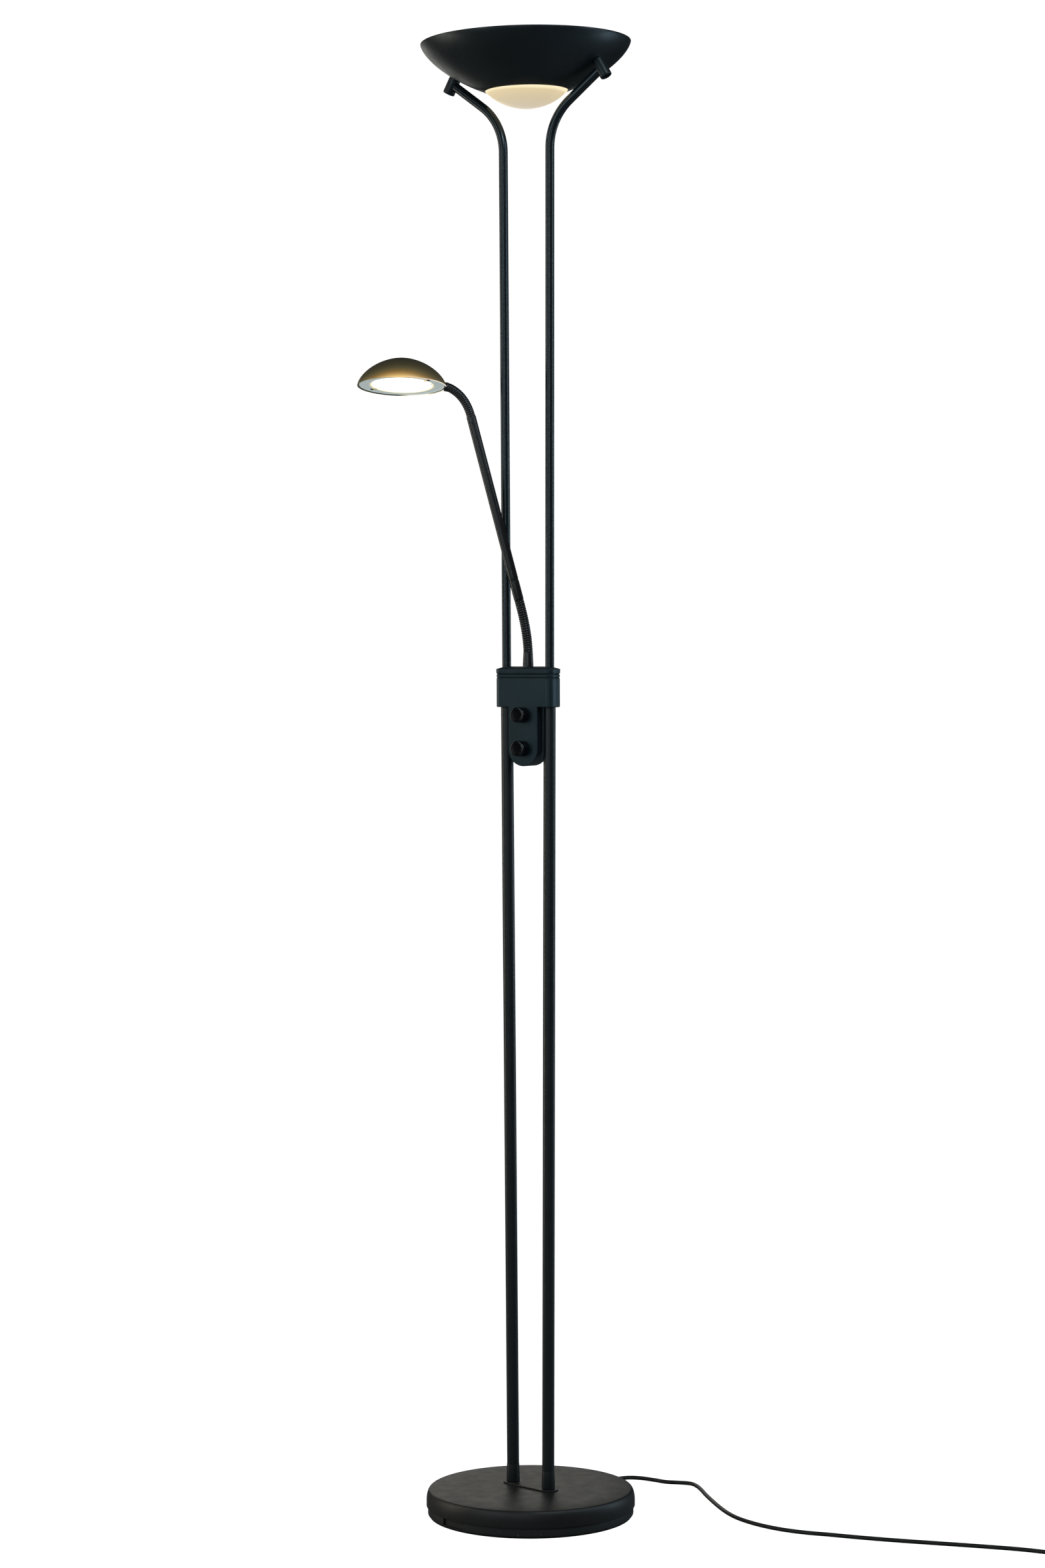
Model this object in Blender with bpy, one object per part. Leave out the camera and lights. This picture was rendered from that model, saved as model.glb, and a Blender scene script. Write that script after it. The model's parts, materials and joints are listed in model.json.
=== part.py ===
"""Torchiere floor lamp with a reading lamp on a gooseneck arm, built as separate pieces.

Units are metres. +Z is up and the origin is the centre of the base's underside, on the floor.
The two poles stand in the XZ plane at the control box, and the knobs face -Y, the front.
"""

import math

import bmesh
import bpy
from mathutils import Matrix, Vector

# Overall and clearance
GAP = 0.0003  # between pieces that touch
RIM_HEIGHT = 1.800  # floor to the rim of the bowl

# Base
BASE_R = 0.1284
BASE_H = 0.0350
COVER_SHEET = 0.0015
COVER_FLAT_R = 0.092
COVER_EDGE_H = 0.0332  # height of the top where the edge's rounding starts
COVER_EDGE_ROUND_R = 0.0050
COVER_EDGE_ROUND_Z = 0.0140
SKIRT_BOTTOM = 0.0126
TRAY_R = 0.1266
TRAY_SHEET = 0.0014
SOLE_R = 0.1245
SOLE_H = 0.0016
BALLAST_R = 0.112
BALLAST_H = 0.016
DRIVER_H = 0.010
NOTCH_ANGLE = math.radians(-107.7)
NOTCH_WIDTH = 0.037
FOOT_TURN = math.radians(-14)  # the base is turned against the control box
FOOT_PLATE_H = 0.0015
FOOT_PLATE_R = 0.0120
FOOT_COLLAR_R = 0.0078
FOOT_COLLAR_H = 0.0214

# Poles
POLE_SPACING = 0.061
POLE_SPACING_TOP = 0.0662
LOWER_POLE_R = 0.00745
UPPER_POLE_R = 0.00550
POLE_WALL = 0.0010
STUD_R = 0.0049
CABLE_BORE_R = 0.0030
NUT_R = 0.0098
UPPER_BEND_Z = 1.7057
UPPER_BEND_R = 0.070

# Control box
BOX_W = 0.081
BOX_D = 0.027
BOX_CORNER_R = 0.008
BOX_WALL = 0.0018
BOX_TOP = 1.0426
BOX_BOTTOM = 0.9948
SEAM_Y = -0.0015
TONGUE_W = 0.041
TONGUE_CENTRE_Z = 0.9434
BLOCK_W = 0.0745
BLOCK_D = 0.0206
BLOCK_BOTTOM = 1.0120
BLOCK_TOP = 1.0340
BLOCK_STEP = 1.0230
KNOB_R = 0.0098
KNOB_H = 0.0140
KNOB_HEIGHTS = {"upper": 0.9857, "lower": 0.9447}
KNOB_GAP = 0.0008
POT_SHAFT_R = 0.0030
BUSH_R = 0.0036
BOX_SCREW_HEIGHTS = {"upper": 1.0058, "lower": 0.9652}
BOX_SCREW_HOLE_R = 0.0019

# Reading arm
ARM_HEADING = math.radians(211)  # the way the arm leans, seen from above
SOCKET_R = 0.0061
SOCKET_TOP_R = 0.0050
SOCKET_H = 0.0172
NECK_R = 0.0054
NECK_CLEARANCE = 0.0007  # between a link's ball and the socket around it
BALL_SHARE = 0.78  # of the neck's radius
LOWER_SPACING = 0.0132
LOWER_LEANS = (4.5, 8.5, 11.0, 13.5)
ARM_LEAN = 14.5
ARM_R = 0.0059
ARM_LENGTH = 0.2309
ARM_FERRULE_LENGTH = 0.023
ARM_START = 0.0090  # from the last lower hinge to the tube
ARM_PAST = 0.0045  # from the tube to the first upper hinge
UPPER_NECK_R = 0.0050
UPPER_SPACING = 0.0100
UPPER_LEANS = (22.0, 32.0, 44.0, 57.0)
COLLAR_LEAN = 76.0
COLLAR_R = 0.0060
CORE_R = 0.0018  # of the cable's way through the necks

# Reading head
HEAD_R = 0.0544
HEAD_H = 0.0345
HEAD_SHEET = 0.0012
HEAD_OUT = 0.1527  # from the lamp's axis to the head's centre, along the arm's heading
HEAD_Z = 1.3857
HEAD_TILT = math.radians(8.6)
HEAD_TIP = math.radians(-1.0)
HEAD_RING_R = 0.0514
HEAD_WINDOW_R = 0.0385

# Bowl
BOWL_R = 0.1278
BOWL_DEPTH = 0.0700  # of the full curve, which the hole cuts short
BOWL_POWER = 1.5
BOWL_SHEET = 0.0013
BOWL_HOLE_R = 0.0505
BOWL_TILT = math.radians(-1.1)
GLASS_R = 0.0499
GLASS_DROP = 0.0212
GLASS_WALL = 0.0025
GLASS_FLANGE_R = 0.055
LED_PLATE_R = 0.072
LED_PLATE_H = 0.002
LED_BOARD_R = 0.062
LED_BOARD_H = 0.0016
TOP_COVER_R = 0.090
TOP_COVER_CROWN = 0.004
TOP_COVER_SHEET = 0.002
JOINT_OUT = 0.1055
JOINT_Z = 1.760
JOINT_R = 0.0073
JOINT_LENGTH = 0.025
JOINT_SLOPE = math.radians(60)

# Mains lead
LEAD_D = 0.0050
LEAD_EXIT_Z = 0.0078
RELIEF_LENGTH = 0.030
RELIEF_HOLE_R = 0.0036
COIL_CENTRE = (0.6703, 0.1695)
COIL_MID_R = 0.0275
COIL_WIDTH = 0.0150
COIL_H = 0.0101
PLUG_HEADING = 100
PLUG_TAIL_AT = 0.0198  # from abreast of the coil's centre to where the cord meets the plug
# Points that the lead passes on the floor between the base and its coil (x, y, z).
LEAD_ROUTE = (
    (0.0000, 0.1570, 0.0078),
    (0.0002, 0.1720, 0.0066),
    (0.0006, 0.1900, 0.0033),
    (0.0034, 0.2090, 0.0026),
    (0.0125, 0.2230, 0.0026),
    (0.0280, 0.2285, 0.0026),
    (0.0480, 0.2280, 0.0026),
    (0.0660, 0.2262, 0.0026),
    (0.0820, 0.2310, 0.0026),
    (0.0975, 0.2340, 0.0026),
    (0.1115, 0.2250, 0.0026),
    (0.1270, 0.2085, 0.0026),
    (0.1470, 0.1850, 0.0026),
    (0.1830, 0.1460, 0.0026),
    (0.2120, 0.1180, 0.0026),
    (0.2390, 0.0985, 0.0026),
    (0.2730, 0.0838, 0.0026),
    (0.3070, 0.0768, 0.0026),
    (0.3380, 0.0772, 0.0026),
    (0.3680, 0.0825, 0.0026),
    (0.4060, 0.0885, 0.0026),
    (0.4500, 0.0975, 0.0026),
    (0.5000, 0.1100, 0.0026),
    (0.5500, 0.1225, 0.0026),
    (0.5980, 0.1325, 0.0026),
    (0.6480, 0.1365, 0.0026),
)

UP = Vector((0, 0, 1))
OUT = Vector((math.cos(ARM_HEADING), math.sin(ARM_HEADING), 0))
SIDE = UP.cross(OUT)


def make_material(name, colour, roughness, metallic=0.0):
    """A plain Principled material."""
    made = bpy.data.materials.new(name)
    made.use_nodes = True
    shader = made.node_tree.nodes["Principled BSDF"]
    shader.inputs["Base Color"].default_value = (*colour, 1)
    shader.inputs["Roughness"].default_value = roughness
    shader.inputs["Metallic"].default_value = metallic
    return made


def clear_scene():
    for old in list(bpy.data.objects):
        bpy.data.objects.remove(old, do_unlink=True)


def finish_mesh(name, shape, look, place=None, sharp=30):
    """Turns a bmesh into a named object with smooth shading and one material."""
    bmesh.ops.remove_doubles(shape, verts=shape.verts, dist=1e-6)
    bmesh.ops.recalc_face_normals(shape, faces=shape.faces)
    mesh = bpy.data.meshes.new(name)
    shape.to_mesh(mesh)
    shape.free()
    mesh.shade_smooth()
    mesh.set_sharp_from_angle(angle=math.radians(sharp))
    piece = bpy.data.objects.new(name, mesh)
    bpy.context.collection.objects.link(piece)
    if look:
        mesh.materials.append(look)
    if place:
        piece.matrix_world = place
    return piece


def turned(name, profile, look, steps=32, place=None, sharp=30):
    """A solid of revolution about local Z.

    The profile is a list of (radius, height) and is closed into a ring. A stretch along the axis makes
    no surface.
    """
    shape = bmesh.new()
    points = [shape.verts.new((radius, 0, height)) for radius, height in profile]
    edges = []
    for i, point in enumerate(points):
        if profile[i - 1][0] > 0 or profile[i][0] > 0:
            edges.append(shape.edges.new((points[i - 1], point)))
    bmesh.ops.spin(
        shape,
        geom=points + edges,
        cent=(0, 0, 0),
        axis=(0, 0, 1),
        angle=math.tau,
        steps=steps,
        use_merge=True,
    )
    return finish_mesh(name, shape, look, place, sharp)


def extruded(name, outline, height, look, place=None, sharp=30):
    """A prism: the outline's (x, y) points in the local XY plane, raised by height along local Z."""
    shape = bmesh.new()
    face = shape.faces.new([shape.verts.new((x, y, 0)) for x, y in outline])
    raised = bmesh.ops.extrude_face_region(shape, geom=[face])
    tops = [v for v in raised["geom"] if isinstance(v, bmesh.types.BMVert)]
    bmesh.ops.translate(shape, verts=tops, vec=(0, 0, height))
    return finish_mesh(name, shape, look, place, sharp)


def swept_tube(name, path, radius, bore, look, sides=12):
    """A hollow round tube with flat open ends along a path of points."""
    shape = bmesh.new()
    rows = []
    side = Vector((0, 1, 0))
    for i, point in enumerate(path):
        before = path[max(i - 1, 0)]
        after = path[min(i + 1, len(path) - 1)]
        along = (after - before).normalized()
        across = side.cross(along).normalized()
        other = along.cross(across)
        rows.append([
            [
                shape.verts.new(
                    point
                    + across * (size * math.cos(math.tau * k / sides))
                    + other * (size * math.sin(math.tau * k / sides))
                )
                for k in range(sides)
            ]
            for size in (radius, bore)
        ])
    for row, following in zip(rows, rows[1:]):
        for layer in (0, 1):
            for k in range(sides):
                after = (k + 1) % sides
                shape.faces.new((
                    row[layer][k], row[layer][after], following[layer][after], following[layer][k]
                ))
    for outer, inner in (rows[0], rows[-1]):
        for k in range(sides):
            after = (k + 1) % sides
            shape.faces.new((outer[k], outer[after], inner[after], inner[k]))
    return finish_mesh(name, shape, look)


def cylinder(name, radius, start, end, look=None, steps=16):
    """A plain round bar from one point to another."""
    along = Vector(end) - Vector(start)
    profile = [(0, 0), (radius, 0), (radius, along.length), (0, along.length)]
    return turned(name, profile, look, steps, facing(start, along))


def stepped_bore(name, foot, sizes, steps=16):
    """A guide for a stepped hole straight up from foot, as (radius, low, high) from the bottom up."""
    profile = [(0, sizes[0][1])]
    for radius, low, high in sizes:
        profile += [(radius, low), (radius, high)]
    profile.append((0, sizes[-1][2]))
    return turned(name, profile, None, steps, Matrix.Translation(foot))


def block(name, low, high, look=None):
    """A rectangular block between two corners."""
    outline = [(low[0], low[1]), (high[0], low[1]), (high[0], high[1]), (low[0], high[1])]
    return extruded(name, outline, high[2] - low[2], look, Matrix.Translation((0, 0, low[2])))


def facing(point, along):
    """A placement at a point whose local Z runs along a direction."""
    turn = Vector(along).to_track_quat("Z", "Y").to_matrix().to_4x4()
    return Matrix.Translation(point) @ turn


def combine(piece, tool, operation):
    """Adds a Boolean with another object and makes that object a hidden guide."""
    step = piece.modifiers.new(operation.lower(), "BOOLEAN")
    step.operation = operation
    step.solver = "EXACT"
    step.object = tool
    tool.hide_render = True
    tool.display_type = "WIRE"


def cut(piece, *tools):
    for tool in tools:
        combine(piece, tool, "DIFFERENCE")


def rounded_rectangle(width, depth, corner, steps=4):
    """Points of a rectangle with round corners, anticlockwise and centred."""
    points = []
    for quarter in range(4):
        sign_x = 1 if quarter in (0, 3) else -1
        sign_y = 1 if quarter < 2 else -1
        for i in range(steps + 1):
            angle = math.pi / 2 * (quarter + i / steps)
            points.append((
                sign_x * (width / 2 - corner) + corner * math.cos(angle),
                sign_y * (depth / 2 - corner) + corner * math.sin(angle),
            ))
    return points


def stacked(name, rings, look, steps=4):
    """A solid through rounded rectangles, given as (width, depth, corner, height) from bottom to top."""
    shape = bmesh.new()
    rows = []
    for width, depth, corner, height in rings:
        outline = rounded_rectangle(width, depth, corner, steps)
        rows.append([shape.verts.new((x, y, height)) for x, y in outline])
    count = len(rows[0])
    for row, above in zip(rows, rows[1:]):
        for k in range(count):
            after = (k + 1) % count
            shape.faces.new((row[k], row[after], above[after], above[k]))
    shape.faces.new(rows[0][::-1])
    shape.faces.new(rows[-1])
    return finish_mesh(name, shape, look)


def arc_points(centre, radius, start, end, steps):
    """Points (x, y) on an arc, angles in degrees."""
    return [
        (
            centre[0] + radius * math.cos(math.radians(start + (end - start) * i / steps)),
            centre[1] + radius * math.sin(math.radians(start + (end - start) * i / steps)),
        )
        for i in range(steps + 1)
    ]


def filleted_path(start, corner, end, radius, steps):
    """Points from start to end that turn at the corner on an arc."""
    before = (start - corner).normalized()
    after = (end - corner).normalized()
    half = before.angle(after) / 2
    centre = corner + (before + after).normalized() * (radius / math.sin(half))
    reach = radius / math.tan(half)
    first = corner + before * reach - centre
    turn = math.pi - 2 * half
    axis = first.cross(corner + after * reach - centre).normalized()
    bend = [centre + Matrix.Rotation(turn * i / steps, 3, axis) @ first for i in range(steps + 1)]
    return [start, *bend, end]


def lean_frame(point, lean):
    """A placement whose local Z leans from upright along the arm's heading, by degrees."""
    angle = math.radians(lean)
    along = OUT * math.sin(angle) + UP * math.cos(angle)
    across = OUT * math.cos(angle) - UP * math.sin(angle)
    turn = Matrix((across, SIDE, along)).transposed().to_4x4()
    return Matrix.Translation(point) @ turn


def step_along(point, lean, distance):
    return lean_frame(point, lean) @ Vector((0, 0, distance))


def neck_hinges(start, leans, spacing, last_lean):
    """The hinges of a neck as (point, lean of the link that starts there)."""
    hinges = []
    point = start
    for lean in leans:
        hinges.append((point, lean))
        point = step_along(point, lean, spacing)
    hinges.append((point, last_lean))
    return hinges


LOWER_FIRST = Vector((0, 0, BOX_TOP + SOCKET_H + 0.0050))
LOWER_HINGES = neck_hinges(LOWER_FIRST, LOWER_LEANS, LOWER_SPACING, ARM_LEAN)
UPPER_FIRST = step_along(LOWER_HINGES[-1][0], ARM_LEAN, ARM_START + ARM_LENGTH + ARM_PAST)
UPPER_HINGES = neck_hinges(UPPER_FIRST, UPPER_LEANS, UPPER_SPACING, COLLAR_LEAN)


def foot_point(side, height):
    """A point on a pole's line at the base, where the poles are turned with the foot plate."""
    reach = side * POLE_SPACING / 2
    return Vector((reach * math.cos(FOOT_TURN), reach * math.sin(FOOT_TURN), height))


# Base ---------------------------------------------------------------------------------------


def cover_profile(shrink, slope_steps, round_steps):
    """The base cover's line from its flat top out and down, moved inwards by shrink."""
    edge = BASE_R - COVER_EDGE_ROUND_R
    slope = [
        (
            COVER_FLAT_R + (edge - COVER_FLAT_R) * i / slope_steps,
            BASE_H - (BASE_H - COVER_EDGE_H) * (i / slope_steps) ** 2,
        )
        for i in range(1, slope_steps + 1)
    ]
    rounding = [
        (
            edge + COVER_EDGE_ROUND_R * math.sin(math.pi / 2 * i / round_steps),
            COVER_EDGE_H - COVER_EDGE_ROUND_Z * (1 - math.cos(math.pi / 2 * i / round_steps)),
        )
        for i in range(1, round_steps + 1)
    ]
    line = [(COVER_FLAT_R, BASE_H)] + slope + rounding
    return [(radius - shrink, height - shrink) for radius, height in line]


def build_base(looks):
    """Sole, tray, ballast, cover, foot plate, collars, studs and nuts."""
    turned("base_sole", [(0, 0), (SOLE_R, 0), (SOLE_R, SOLE_H), (0, SOLE_H)], looks["foam"], 40)

    tray_low = SOLE_H + GAP
    tray_top = SKIRT_BOTTOM - GAP
    floor_top = tray_low + TRAY_SHEET
    tray = turned(
        "base_tray",
        [
            (0, tray_low),
            (TRAY_R - 0.0012, tray_low),
            (TRAY_R, tray_low + 0.0012),
            (TRAY_R, tray_top),
            (TRAY_R - TRAY_SHEET, tray_top),
            (TRAY_R - TRAY_SHEET, floor_top),
            (0, floor_top),
        ],
        looks["tray"],
        40,
    )
    notch_turn = Matrix.Rotation(NOTCH_ANGLE, 4, "Z")
    notch = block(
        "notch_cutter",
        (TRAY_R - 0.006, -NOTCH_WIDTH / 2, floor_top + 0.0006),
        (TRAY_R + 0.006, NOTCH_WIDTH / 2, 0.02),
    )
    notch.matrix_world = notch_turn @ notch.matrix_world
    inside = (0, TRAY_R - 0.01, LEAD_EXIT_Z)
    outside = (0, TRAY_R + 0.01, LEAD_EXIT_Z)
    relief_hole = cylinder("relief_hole_cutter", RELIEF_HOLE_R, inside, outside, steps=12)
    cut(tray, notch, relief_hole)

    ballast_low = floor_top + GAP
    ballast = turned(
        "base_ballast",
        [
            (0, ballast_low),
            (BALLAST_R - 0.002, ballast_low),
            (BALLAST_R, ballast_low + 0.002),
            (BALLAST_R, ballast_low + BALLAST_H - 0.003),
            (BALLAST_R - 0.003, ballast_low + BALLAST_H),
            (0, ballast_low + BALLAST_H),
        ],
        looks["iron"],
        40,
    )
    channel = block("cable_channel_cutter", (-0.0045, 0.02, 0), (0.0045, 0.13, 0.03))
    cut(ballast, channel)

    cover_line = cover_profile(0, 3, 5)
    inside_line = cover_profile(COVER_SHEET, 1, 3)
    cover = turned(
        "base_cover",
        [(0, BASE_H)]
        + cover_line
        + [(BASE_R, SKIRT_BOTTOM), (BASE_R - COVER_SHEET, SKIRT_BOTTOM)]
        + inside_line[::-1]
        + [(0, BASE_H - COVER_SHEET)],
        looks["black"],
        40,
    )

    plate_low = BASE_H + GAP
    half = POLE_SPACING / 2
    right_end = arc_points((half, 0), FOOT_PLATE_R, -90, 90, 7)
    left_end = arc_points((-half, 0), FOOT_PLATE_R, 90, 270, 7)
    plate = extruded(
        "foot_plate",
        right_end + left_end,
        FOOT_PLATE_H,
        looks["black"],
        Matrix.Translation((0, 0, plate_low)) @ Matrix.Rotation(FOOT_TURN, 4, "Z"),
    )
    collar_low = plate_low + FOOT_PLATE_H + GAP
    nut_low = ballast_low + GAP
    nut_high = nut_low + 0.006
    for side, label in ((-1, "left"), (1, "right")):
        centre = foot_point(side, 0)
        hole_r = STUD_R + 0.0005
        for piece in (cover, plate):
            cut(piece, stepped_bore(f"{piece.name}_{label}_cutter", centre, [(hole_r, 0.0, 0.06)], 12))
        nut_room = [(0.0110, 0.001, nut_high + 0.0006), (hole_r, nut_high + 0.0006, 0.03)]
        cut(ballast, stepped_bore(f"ballast_{label}_cutter", centre, nut_room))
        stud_low = nut_low + 0.0002
        turned(
            f"pole_stud_{label}",
            [
                (CABLE_BORE_R, stud_low),
                (STUD_R, stud_low),
                (STUD_R, 0.052),
                (CABLE_BORE_R, 0.052),
            ],
            looks["zinc"],
            12,
            Matrix.Translation(centre),
        )
        corners = [math.tau * k / 6 for k in range(6)]
        hexagon = [(NUT_R * math.cos(angle), NUT_R * math.sin(angle)) for angle in corners]
        nut_place = Matrix.Translation(centre + UP * nut_low)
        nut = extruded(f"stud_nut_{label}", hexagon, nut_high - nut_low, looks["zinc"], nut_place)
        cut(nut, cylinder(f"nut_bore_{label}_cutter", STUD_R + GAP, centre, centre + UP * 0.03, steps=12))
        turned(
            f"foot_collar_{label}",
            [
                (STUD_R + GAP, collar_low),
                (FOOT_COLLAR_R, collar_low),
                (FOOT_COLLAR_R, collar_low + FOOT_COLLAR_H),
                (CABLE_BORE_R, collar_low + FOOT_COLLAR_H),
                (CABLE_BORE_R, 0.0525),
                (STUD_R + GAP, 0.0525),
            ],
            looks["black"],
            20,
            Matrix.Translation(centre),
        )
    driver_low = ballast_low + BALLAST_H + GAP
    driver_corner = (-0.034, -0.064, driver_low)
    block("led_driver", driver_corner, (0.034, -0.034, driver_low + DRIVER_H), looks["white_plastic"])


# Poles --------------------------------------------------------------------------------------


def joint_centre(side):
    """The middle of a bowl joint, which tilts with the bowl."""
    return bowl_place() @ Vector((side * JOINT_OUT, 0, JOINT_Z - RIM_HEIGHT))


def upper_path(side):
    """The upper pole's middle line, from the block to its bowl joint."""
    foot = Vector((side * POLE_SPACING / 2, 0, BLOCK_STEP + GAP))
    corner = Vector((side * POLE_SPACING_TOP / 2, 0, UPPER_BEND_Z))
    centre = joint_centre(side)
    inwards = (corner - centre).normalized()
    return filleted_path(foot, corner, centre + inwards * 0.0043, UPPER_BEND_R, 8)


def build_poles(looks):
    for side, label in ((-1, "left"), (1, "right")):
        low = foot_point(side, BASE_H + FOOT_PLATE_H + FOOT_COLLAR_H + 3 * GAP)
        high = Vector((side * POLE_SPACING / 2, 0, BLOCK_STEP - GAP))
        for name, path, radius, sides in (
            (f"lower_pole_{label}", [low, high], LOWER_POLE_R, 16),
            (f"upper_pole_{label}", upper_path(side), UPPER_POLE_R, 12),
        ):
            swept_tube(name, path, radius, radius - POLE_WALL, looks["black"], sides)
    core = stacked(
        "pole_block",
        [
            (BLOCK_W, BLOCK_D, 0.0065, BLOCK_BOTTOM),
            (BLOCK_W, BLOCK_D, 0.0065, BLOCK_TOP),
        ],
        looks["zinc"],
        2,
    )
    for side, label in ((-1, "left"), (1, "right")):
        foot = Vector((side * POLE_SPACING / 2, 0, 0))
        bore = [
            (LOWER_POLE_R + 0.0005, BLOCK_BOTTOM - 0.01, BLOCK_STEP),
            (UPPER_POLE_R + 0.0005, BLOCK_STEP, BLOCK_TOP + 0.01),
        ]
        cut(core, stepped_bore(f"block_{label}_cutter", foot, bore))
    middle = (Vector((0, 0, BLOCK_BOTTOM - 0.01)), Vector((0, 0, BLOCK_TOP + 0.01)))
    cut(core, cylinder("middle_bore_cutter", 0.0050, *middle, steps=12))


# Control box --------------------------------------------------------------------------------


def box_solid(name, shrink, look=None):
    """The control box's outer form, or its hollow when shrunk."""
    width = BOX_W - 2 * shrink
    depth = BOX_D - 2 * shrink
    corner = BOX_CORNER_R - shrink
    top = BOX_TOP - shrink
    if shrink:
        rings = [(width, depth, corner, BOX_BOTTOM + shrink), (width, depth, corner, top)]
        rings = [(width - 0.0010, depth - 0.0016, corner, height) for *_, height in rings]
    else:
        groove = 0.0009
        rows = (
            (0.0008, 0.0),
            (0.0, 0.0008),
            (0.0, 0.0356),
            (groove, 0.0361),
            (0.0, 0.0367),
            (0.0, 0.0398),
            (groove, 0.0403),
            (-0.0002, 0.0409),
            (-0.0005, 0.0470),
            (0.0004, 0.0478),
        )
        rings = [
            (width - 2 * inset, depth - 2 * inset, corner - inset, BOX_BOTTOM + height)
            for inset, height in rows
        ]
    return stacked(name, rings, look)


def tongue_solid(name, shrink, look=None):
    """The tongue below the box that carries the knobs, reaching up inside the box."""
    half = TONGUE_W / 2 - shrink
    top = BOX_BOTTOM + 0.010
    bottom = arc_points((0, TONGUE_CENTRE_Z), half, 180, 360, 10)
    outline = [(-half, top)] + bottom + [(half, top)]
    depth = BOX_D - 2 * shrink - 0.0012
    upright = Matrix.Translation((0, depth / 2, 0)) @ Matrix.Rotation(math.pi / 2, 4, "X")
    return extruded(name, outline, depth, look, upright)


def build_box(looks):
    """Front and rear shells, cut from one outer form along the seam."""
    top_bores = {
        "left": (Vector((-POLE_SPACING / 2, 0, BOX_TOP - 0.006)), UPPER_POLE_R + 0.0005),
        "right": (Vector((POLE_SPACING / 2, 0, BOX_TOP - 0.006)), UPPER_POLE_R + 0.0005),
        "middle": (Vector((0, 0, BOX_TOP - 0.006)), SOCKET_R + GAP),
    }
    for label, low_y, high_y in (("front", -0.05, SEAM_Y), ("rear", SEAM_Y + GAP, 0.05)):
        shell = box_solid(f"box_{label}", 0, looks["black"])
        combine(shell, tongue_solid(f"{label}_tongue_guide", 0), "UNION")
        cut(
            shell,
            box_solid(f"{label}_hollow_cutter", BOX_WALL),
            tongue_solid(f"{label}_tongue_hollow_cutter", BOX_WALL),
        )
        for side, (bottom, radius) in top_bores.items():
            cut(shell, cylinder(f"{label}_{side}_bore_cutter", radius, bottom, bottom + UP * 0.02))
        for side in (-1, 1):
            foot = Vector((side * POLE_SPACING / 2, 0, BOX_BOTTOM - 0.005))
            name = f"{label}_{'left' if side < 0 else 'right'}_foot_cutter"
            cut(shell, cylinder(name, LOWER_POLE_R + 0.0005, foot, foot + UP * 0.010))
        if label == "front":
            for level, height in KNOB_HEIGHTS.items():
                tool = cylinder(f"{level}_shaft_cutter", 0.0040, (0, -0.03, height), (0, 0, height), steps=12)
                cut(shell, tool)
        else:
            for level, height in BOX_SCREW_HEIGHTS.items():
                start, end = (0, 0.005, height), (0, 0.03, height)
                tool = cylinder(f"{level}_screw_cutter", BOX_SCREW_HOLE_R, start, end, steps=10)
                cut(shell, tool)
        combine(
            shell,
            block(f"{label}_half_guide", (-0.06, low_y, 0.90), (0.06, high_y, 1.06)),
            "INTERSECT",
        )
    board_y = 0.0010
    block("dimmer_board", (-0.0150, board_y, 0.9335), (0.0150, board_y + 0.0016, 0.9985), looks["board"])
    for level, height in KNOB_HEIGHTS.items():
        build_dimmer(level, height, board_y, looks)
    for level, height in BOX_SCREW_HEIGHTS.items():
        head_y = BOX_D / 2 - 0.0006 if level == "lower" else BOX_D / 2
        turned(
            f"box_screw_{level}",
            [
                (0, 0.0022),
                (0.0022, 0.0022),
                (0.0032, 0.0006),
                (0.0032, 0),
                (0.0014, 0),
                (0.0014, -0.0085),
                (0, -0.0085),
            ],
            looks["steel"],
            12,
            facing((0, head_y + GAP, height), (0, 1, 0)),
        )


def build_dimmer(level, height, board_y, looks):
    """A rotary dimmer behind the box's front, with its turning shaft and knob."""
    front_y = -(BOX_D / 2 - 0.0006)
    inner_y = front_y + BOX_WALL
    body_front = board_y - GAP - 0.0070
    body = block(
        f"dimmer_pot_{level}",
        (-0.0080, body_front, height - 0.0080),
        (0.0080, board_y - GAP, height + 0.0080),
        looks["pot"],
    )
    bush_end = (0, inner_y - BOX_WALL - 0.0004, height)
    bush = cylinder(f"bush_{level}_guide", BUSH_R, (0, body_front + 0.001, height), bush_end)
    combine(body, bush, "UNION")
    bore_start, bore_end = (0, board_y - 0.004, height), (0, -0.03, height)
    bore = cylinder(f"bush_bore_{level}_cutter", POT_SHAFT_R - 0.0006, bore_start, bore_end, steps=12)
    cut(body, bore)
    knob_back = front_y - KNOB_GAP
    towards = (0, -1, 0)
    turned(
        f"pot_shaft_{level}",
        [
            (0, 0),
            (POT_SHAFT_R - 0.0009, 0),
            (POT_SHAFT_R - 0.0009, -(knob_back - board_y + 0.0045) + 0.0085),
            (0, -(knob_back - board_y + 0.0045) + 0.0085),
        ],
        looks["steel"],
        12,
        facing((0, board_y - 0.0045, height), towards),
    )
    turned(
        f"knob_{level}",
        [
            (POT_SHAFT_R - 0.0006, 0),
            (KNOB_R - 0.0004, 0),
            (KNOB_R, 0.0006),
            (KNOB_R - 0.0004, KNOB_H - 0.0010),
            (KNOB_R - 0.0014, KNOB_H),
            (0, KNOB_H),
            (0, 0.0092),
            (POT_SHAFT_R - 0.0006, 0.0092),
        ],
        looks["knob"],
        28,
        facing((0, knob_back, height), towards),
    )


# Reading arm --------------------------------------------------------------------------------


def socket_line(radius, clear, lip):
    """The inside of a link's round socket, from its lip up to the cable bore."""
    reach = radius * BALL_SHARE + clear
    start = math.asin(lip / reach)
    end = math.acos(CORE_R / reach)
    return [
        (reach * math.cos(start + (end - start) * i / 2), reach * math.sin(start + (end - start) * i / 2))
        for i in range(3)
    ]


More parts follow.
